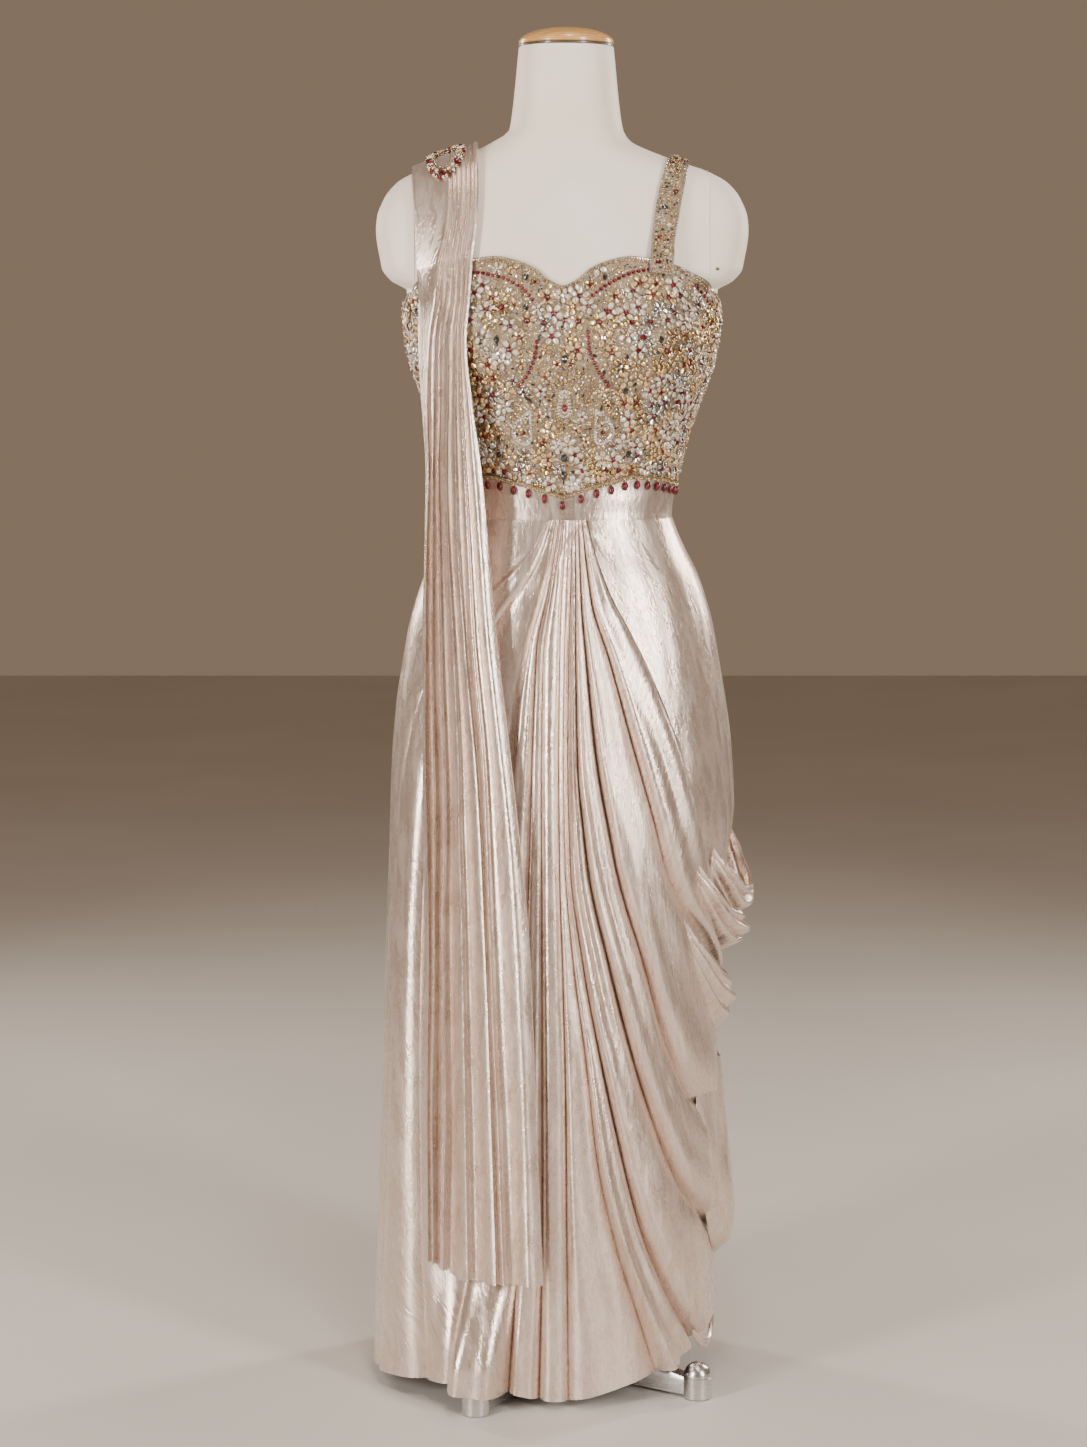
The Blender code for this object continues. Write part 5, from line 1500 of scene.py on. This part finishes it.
def pallu(coat):
    """The pleated length over the wearer's right shoulder, from the back down to its hem."""
    lean = np.linspace(-106, 66, 96)
    row = {name: read(PALLU_SHOULDER, name, "lean", lean) for name in Lean._fields[1:]}
    ridges = [row["first"] + (row["last"] - row["first"]) * s for s in np.linspace(0, 1, 7)]
    across, high = pallu_section(ridges, row["left"], row["right"], row["rise"])
    over_bodice = ((-106, BODICE_CLEARANCE), (-92, BODICE_CLEARANCE), (-66, PALLU_GAP),
                   (40, PALLU_GAP), (66, BODICE_CLEARANCE))
    clearance = through(over_bodice, lean)[:, None]
    inside = over_shoulder(across, lean[:, None], clearance + high + CLOTH - FINE)
    outside = over_shoulder(across, lean[:, None], clearance + high + CLOTH)
    share = np.linspace(0, 1, 170)[1:]
    nominal = PALLU_FALL + (PALLU_HANG[0].height - PALLU_FALL) * share
    row = {name: read(PALLU_HANG, name, "height", nominal) for name in Hang._fields[1:]}
    ridges = [row["p" + str(number)] + 0.0009 * noise(nominal / 0.11, 0 * nominal, 70 + number)
              for number in range(1, 8)]
    across, high = pallu_section(ridges, row["left"], row["right"], row["rise"])
    hem = np.interp(across[-1], [place[0] for place in PALLU_HEM], [place[1] for place in PALLU_HEM])
    height = PALLU_FALL + (hem[None, :] - PALLU_FALL) * share[:, None]
    place = (across - across[:, :1]) / (across[:, -1:] - across[:, :1])
    y = row["y_left"][:, None] + (row["y_right"] - row["y_left"])[:, None] * place
    y = y - PALLU_BOW * np.sin(np.pi * place)
    high = high + 0.6 * crumple(across, height, 81)
    hang_in = np.stack([across, y - high - CLOTH + FINE, height], axis=-1)
    hang_out = np.stack([across, y - high - CLOTH, height], axis=-1)
    inside = np.concatenate([inside, hang_in])
    outside = np.concatenate([outside, hang_out])
    u, v = arcs(outside)
    piece = wall("pallu_cloth", inside, outside, u, v, coat)
    dress(piece, "foil_jersey", "pallu")


def side_drape(drape, coat):
    """A swag of cloth over the side of the skirt, seated at its ends and open along its top."""
    across = np.linspace(0, 1, 76)[None, :]
    down = np.linspace(0, 1, 40)[:, None]
    bow = np.sin(np.pi * across)
    turn = drape.front + (drape.back - drape.front) * across + 0 * down
    rim = drape.front_height + (drape.back_height - drape.front_height) * across - drape.sag * bow
    height = rim - drape.depth * down * (0.4 + 0.6 * bow)
    shape = through(drape.profile, down)
    seat = drape.front_seat + (drape.back_seat - drape.front_seat) * across
    seed = 90 + len(drape.name)
    if drape.name == "side_fold":
        ridges = 0.30 * np.abs(np.sin(np.pi * (3.2 * across + 0.25 * down))) - 0.14
    else:
        ridges = 0.40 * np.abs(np.sin(np.pi * (2.6 * down + 0.35 * across + 0.3))) - 0.20
    folds = 0.22 * noise(across * 6, down * 2, seed) + 0.12 * noise(across * 13, down * 5, seed + 1)
    out = seat + drape.bulge * bow**1.1 * shape * (1 + folds + ridges)
    piece = cloth_wall(drape.name + "_cloth", SKIRT, turn, height, out, coat, THIN)
    dress(piece, "foil_jersey", drape.name)


# The room

VIEWPOINT = (-0.0216, -3.55, 1.1613)
LOOKING_DOWN = 6.193  # degrees
LENS = 75.54  # millimetres
SENSOR = 36.0
LAMP_NARROWING = 0.4
LAMP_STRETCH = 1.6
Lamp = namedtuple("Lamp", "name place target size power colour")
LAMPS = (
    Lamp("Left box", (-2.2, -2.2, 1.15), (0, 0, 0.80), 1.2, 112, (1.0, 0.955, 0.90)),
    Lamp("Right box", (2.1, -2.4, 1.6), (0, 0, 0.85), 1.2, 92, (1.0, 0.965, 0.92)),
    Lamp("Top", (0.2, -1.1, 3.3), (0, 0, 1.0), 0.8, 30, (1.0, 0.97, 0.93)),
    Lamp("Rim left", (-1.9, 1.7, 1.7), (0, 0, 0.9), 0.8, 36, (1.0, 0.93, 0.85)),
    Lamp("Rim right", (2.0, 1.5, 1.8), (0, 0, 0.9), 0.8, 44, (1.0, 0.93, 0.85)),
)


def studio(coat):
    """A pale floor, soft lights and the camera in front."""
    mesh = bpy.data.meshes.new("Floor")
    mesh.from_pydata([(-9, -9, 0), (9, -9, 0), (9, 9, 0), (-9, 9, 0)], [], [(0, 1, 2, 3)])
    mesh.materials.append(coat)
    floor = placed("Floor", mesh)
    floor.location = (0.0, 0.0, -0.0005)
    for lamp in LAMPS:
        light = bpy.data.lights.new(lamp.name, "AREA")
        light.shape = "RECTANGLE"
        light.size = lamp.size * LAMP_NARROWING
        light.size_y = lamp.size * LAMP_STRETCH
        light.energy = lamp.power
        light.color = lamp.colour
        made = placed(lamp.name, light)
        made.location = lamp.place
        facing = Vector(lamp.target) - Vector(lamp.place)
        made.rotation_euler = facing.to_track_quat("-Z", "Y").to_euler()
    world = bpy.data.worlds.new("Studio")
    world.use_nodes = True
    world.node_tree.nodes["Background"].inputs["Color"].default_value = (0.66, 0.47, 0.32, 1.0)
    world.node_tree.nodes["Background"].inputs["Strength"].default_value = 0.36
    bpy.context.scene.world = world
    camera = bpy.data.cameras.new("Camera")
    camera.lens = LENS
    camera.sensor_width = SENSOR
    viewer = placed("Camera", camera)
    viewer.location = VIEWPOINT
    viewer.rotation_euler = (np.radians(90 - LOOKING_DOWN), 0.0, 0.0)
    bpy.context.scene.camera = viewer


def build():
    """Every piece of the gown and the form, then the room."""
    jersey = jersey_finish()
    net = net_finish()
    gold = bead_finish("Gold beads", (0.42, 0.27, 0.10), (0.86, 0.66, 0.38), 0.22, 0.95)
    silver = bead_finish("Silver stones", (0.38, 0.36, 0.33), (0.84, 0.81, 0.77), 0.2, 0.9)
    pearl = bead_finish("Pearls", (0.47, 0.37, 0.27), (0.80, 0.70, 0.59), 0.24, 0.25, 0.4)
    champagne = bead_finish("Champagne beads", (0.46, 0.29, 0.13), (0.80, 0.59, 0.35), 0.2, 0.5, 0.4)
    garnet = bead_finish("Garnets", (0.045, 0.0006, 0.004), (0.17, 0.001, 0.009), 0.24, 0.0, 0.0)
    jet = bead_finish("Jet stones", (0.010, 0.009, 0.009), (0.03, 0.026, 0.025), 0.12, 0.0, 0.8)
    cover = canvas_finish()
    honey = wood_finish("Cap wood", (0.38, 0.17, 0.045), (0.74, 0.42, 0.14), 0.34)
    dark = wood_finish("Cap rim", (0.035, 0.022, 0.015), (0.11, 0.07, 0.045), 0.4)
    steel = steel_finish()
    coats = [gold, silver, pearl, champagne, garnet, jet]
    form_body(cover, dark)
    form_cap(dark, honey)
    stand(steel)
    bodice(net, coats)
    strap_and_patch(net, coats)
    drop_edging(garnet, gold, net)
    waistband(jersey)
    front_drape(jersey)
    hip_panel(jersey)
    back_panel("skirt_back_left", SEAM_TURN + 0.2, CLOSURE_TURN, 0.046, 0.010, jersey)
    back_panel("skirt_back_right", -SEAM_TURN - 0.2, -CLOSURE_TURN, 0.012, 0.010, jersey)
    pallu(jersey)
    for drape in SIDE_DRAPES:
        side_drape(drape, jersey)
    studio(floor_finish())


build()
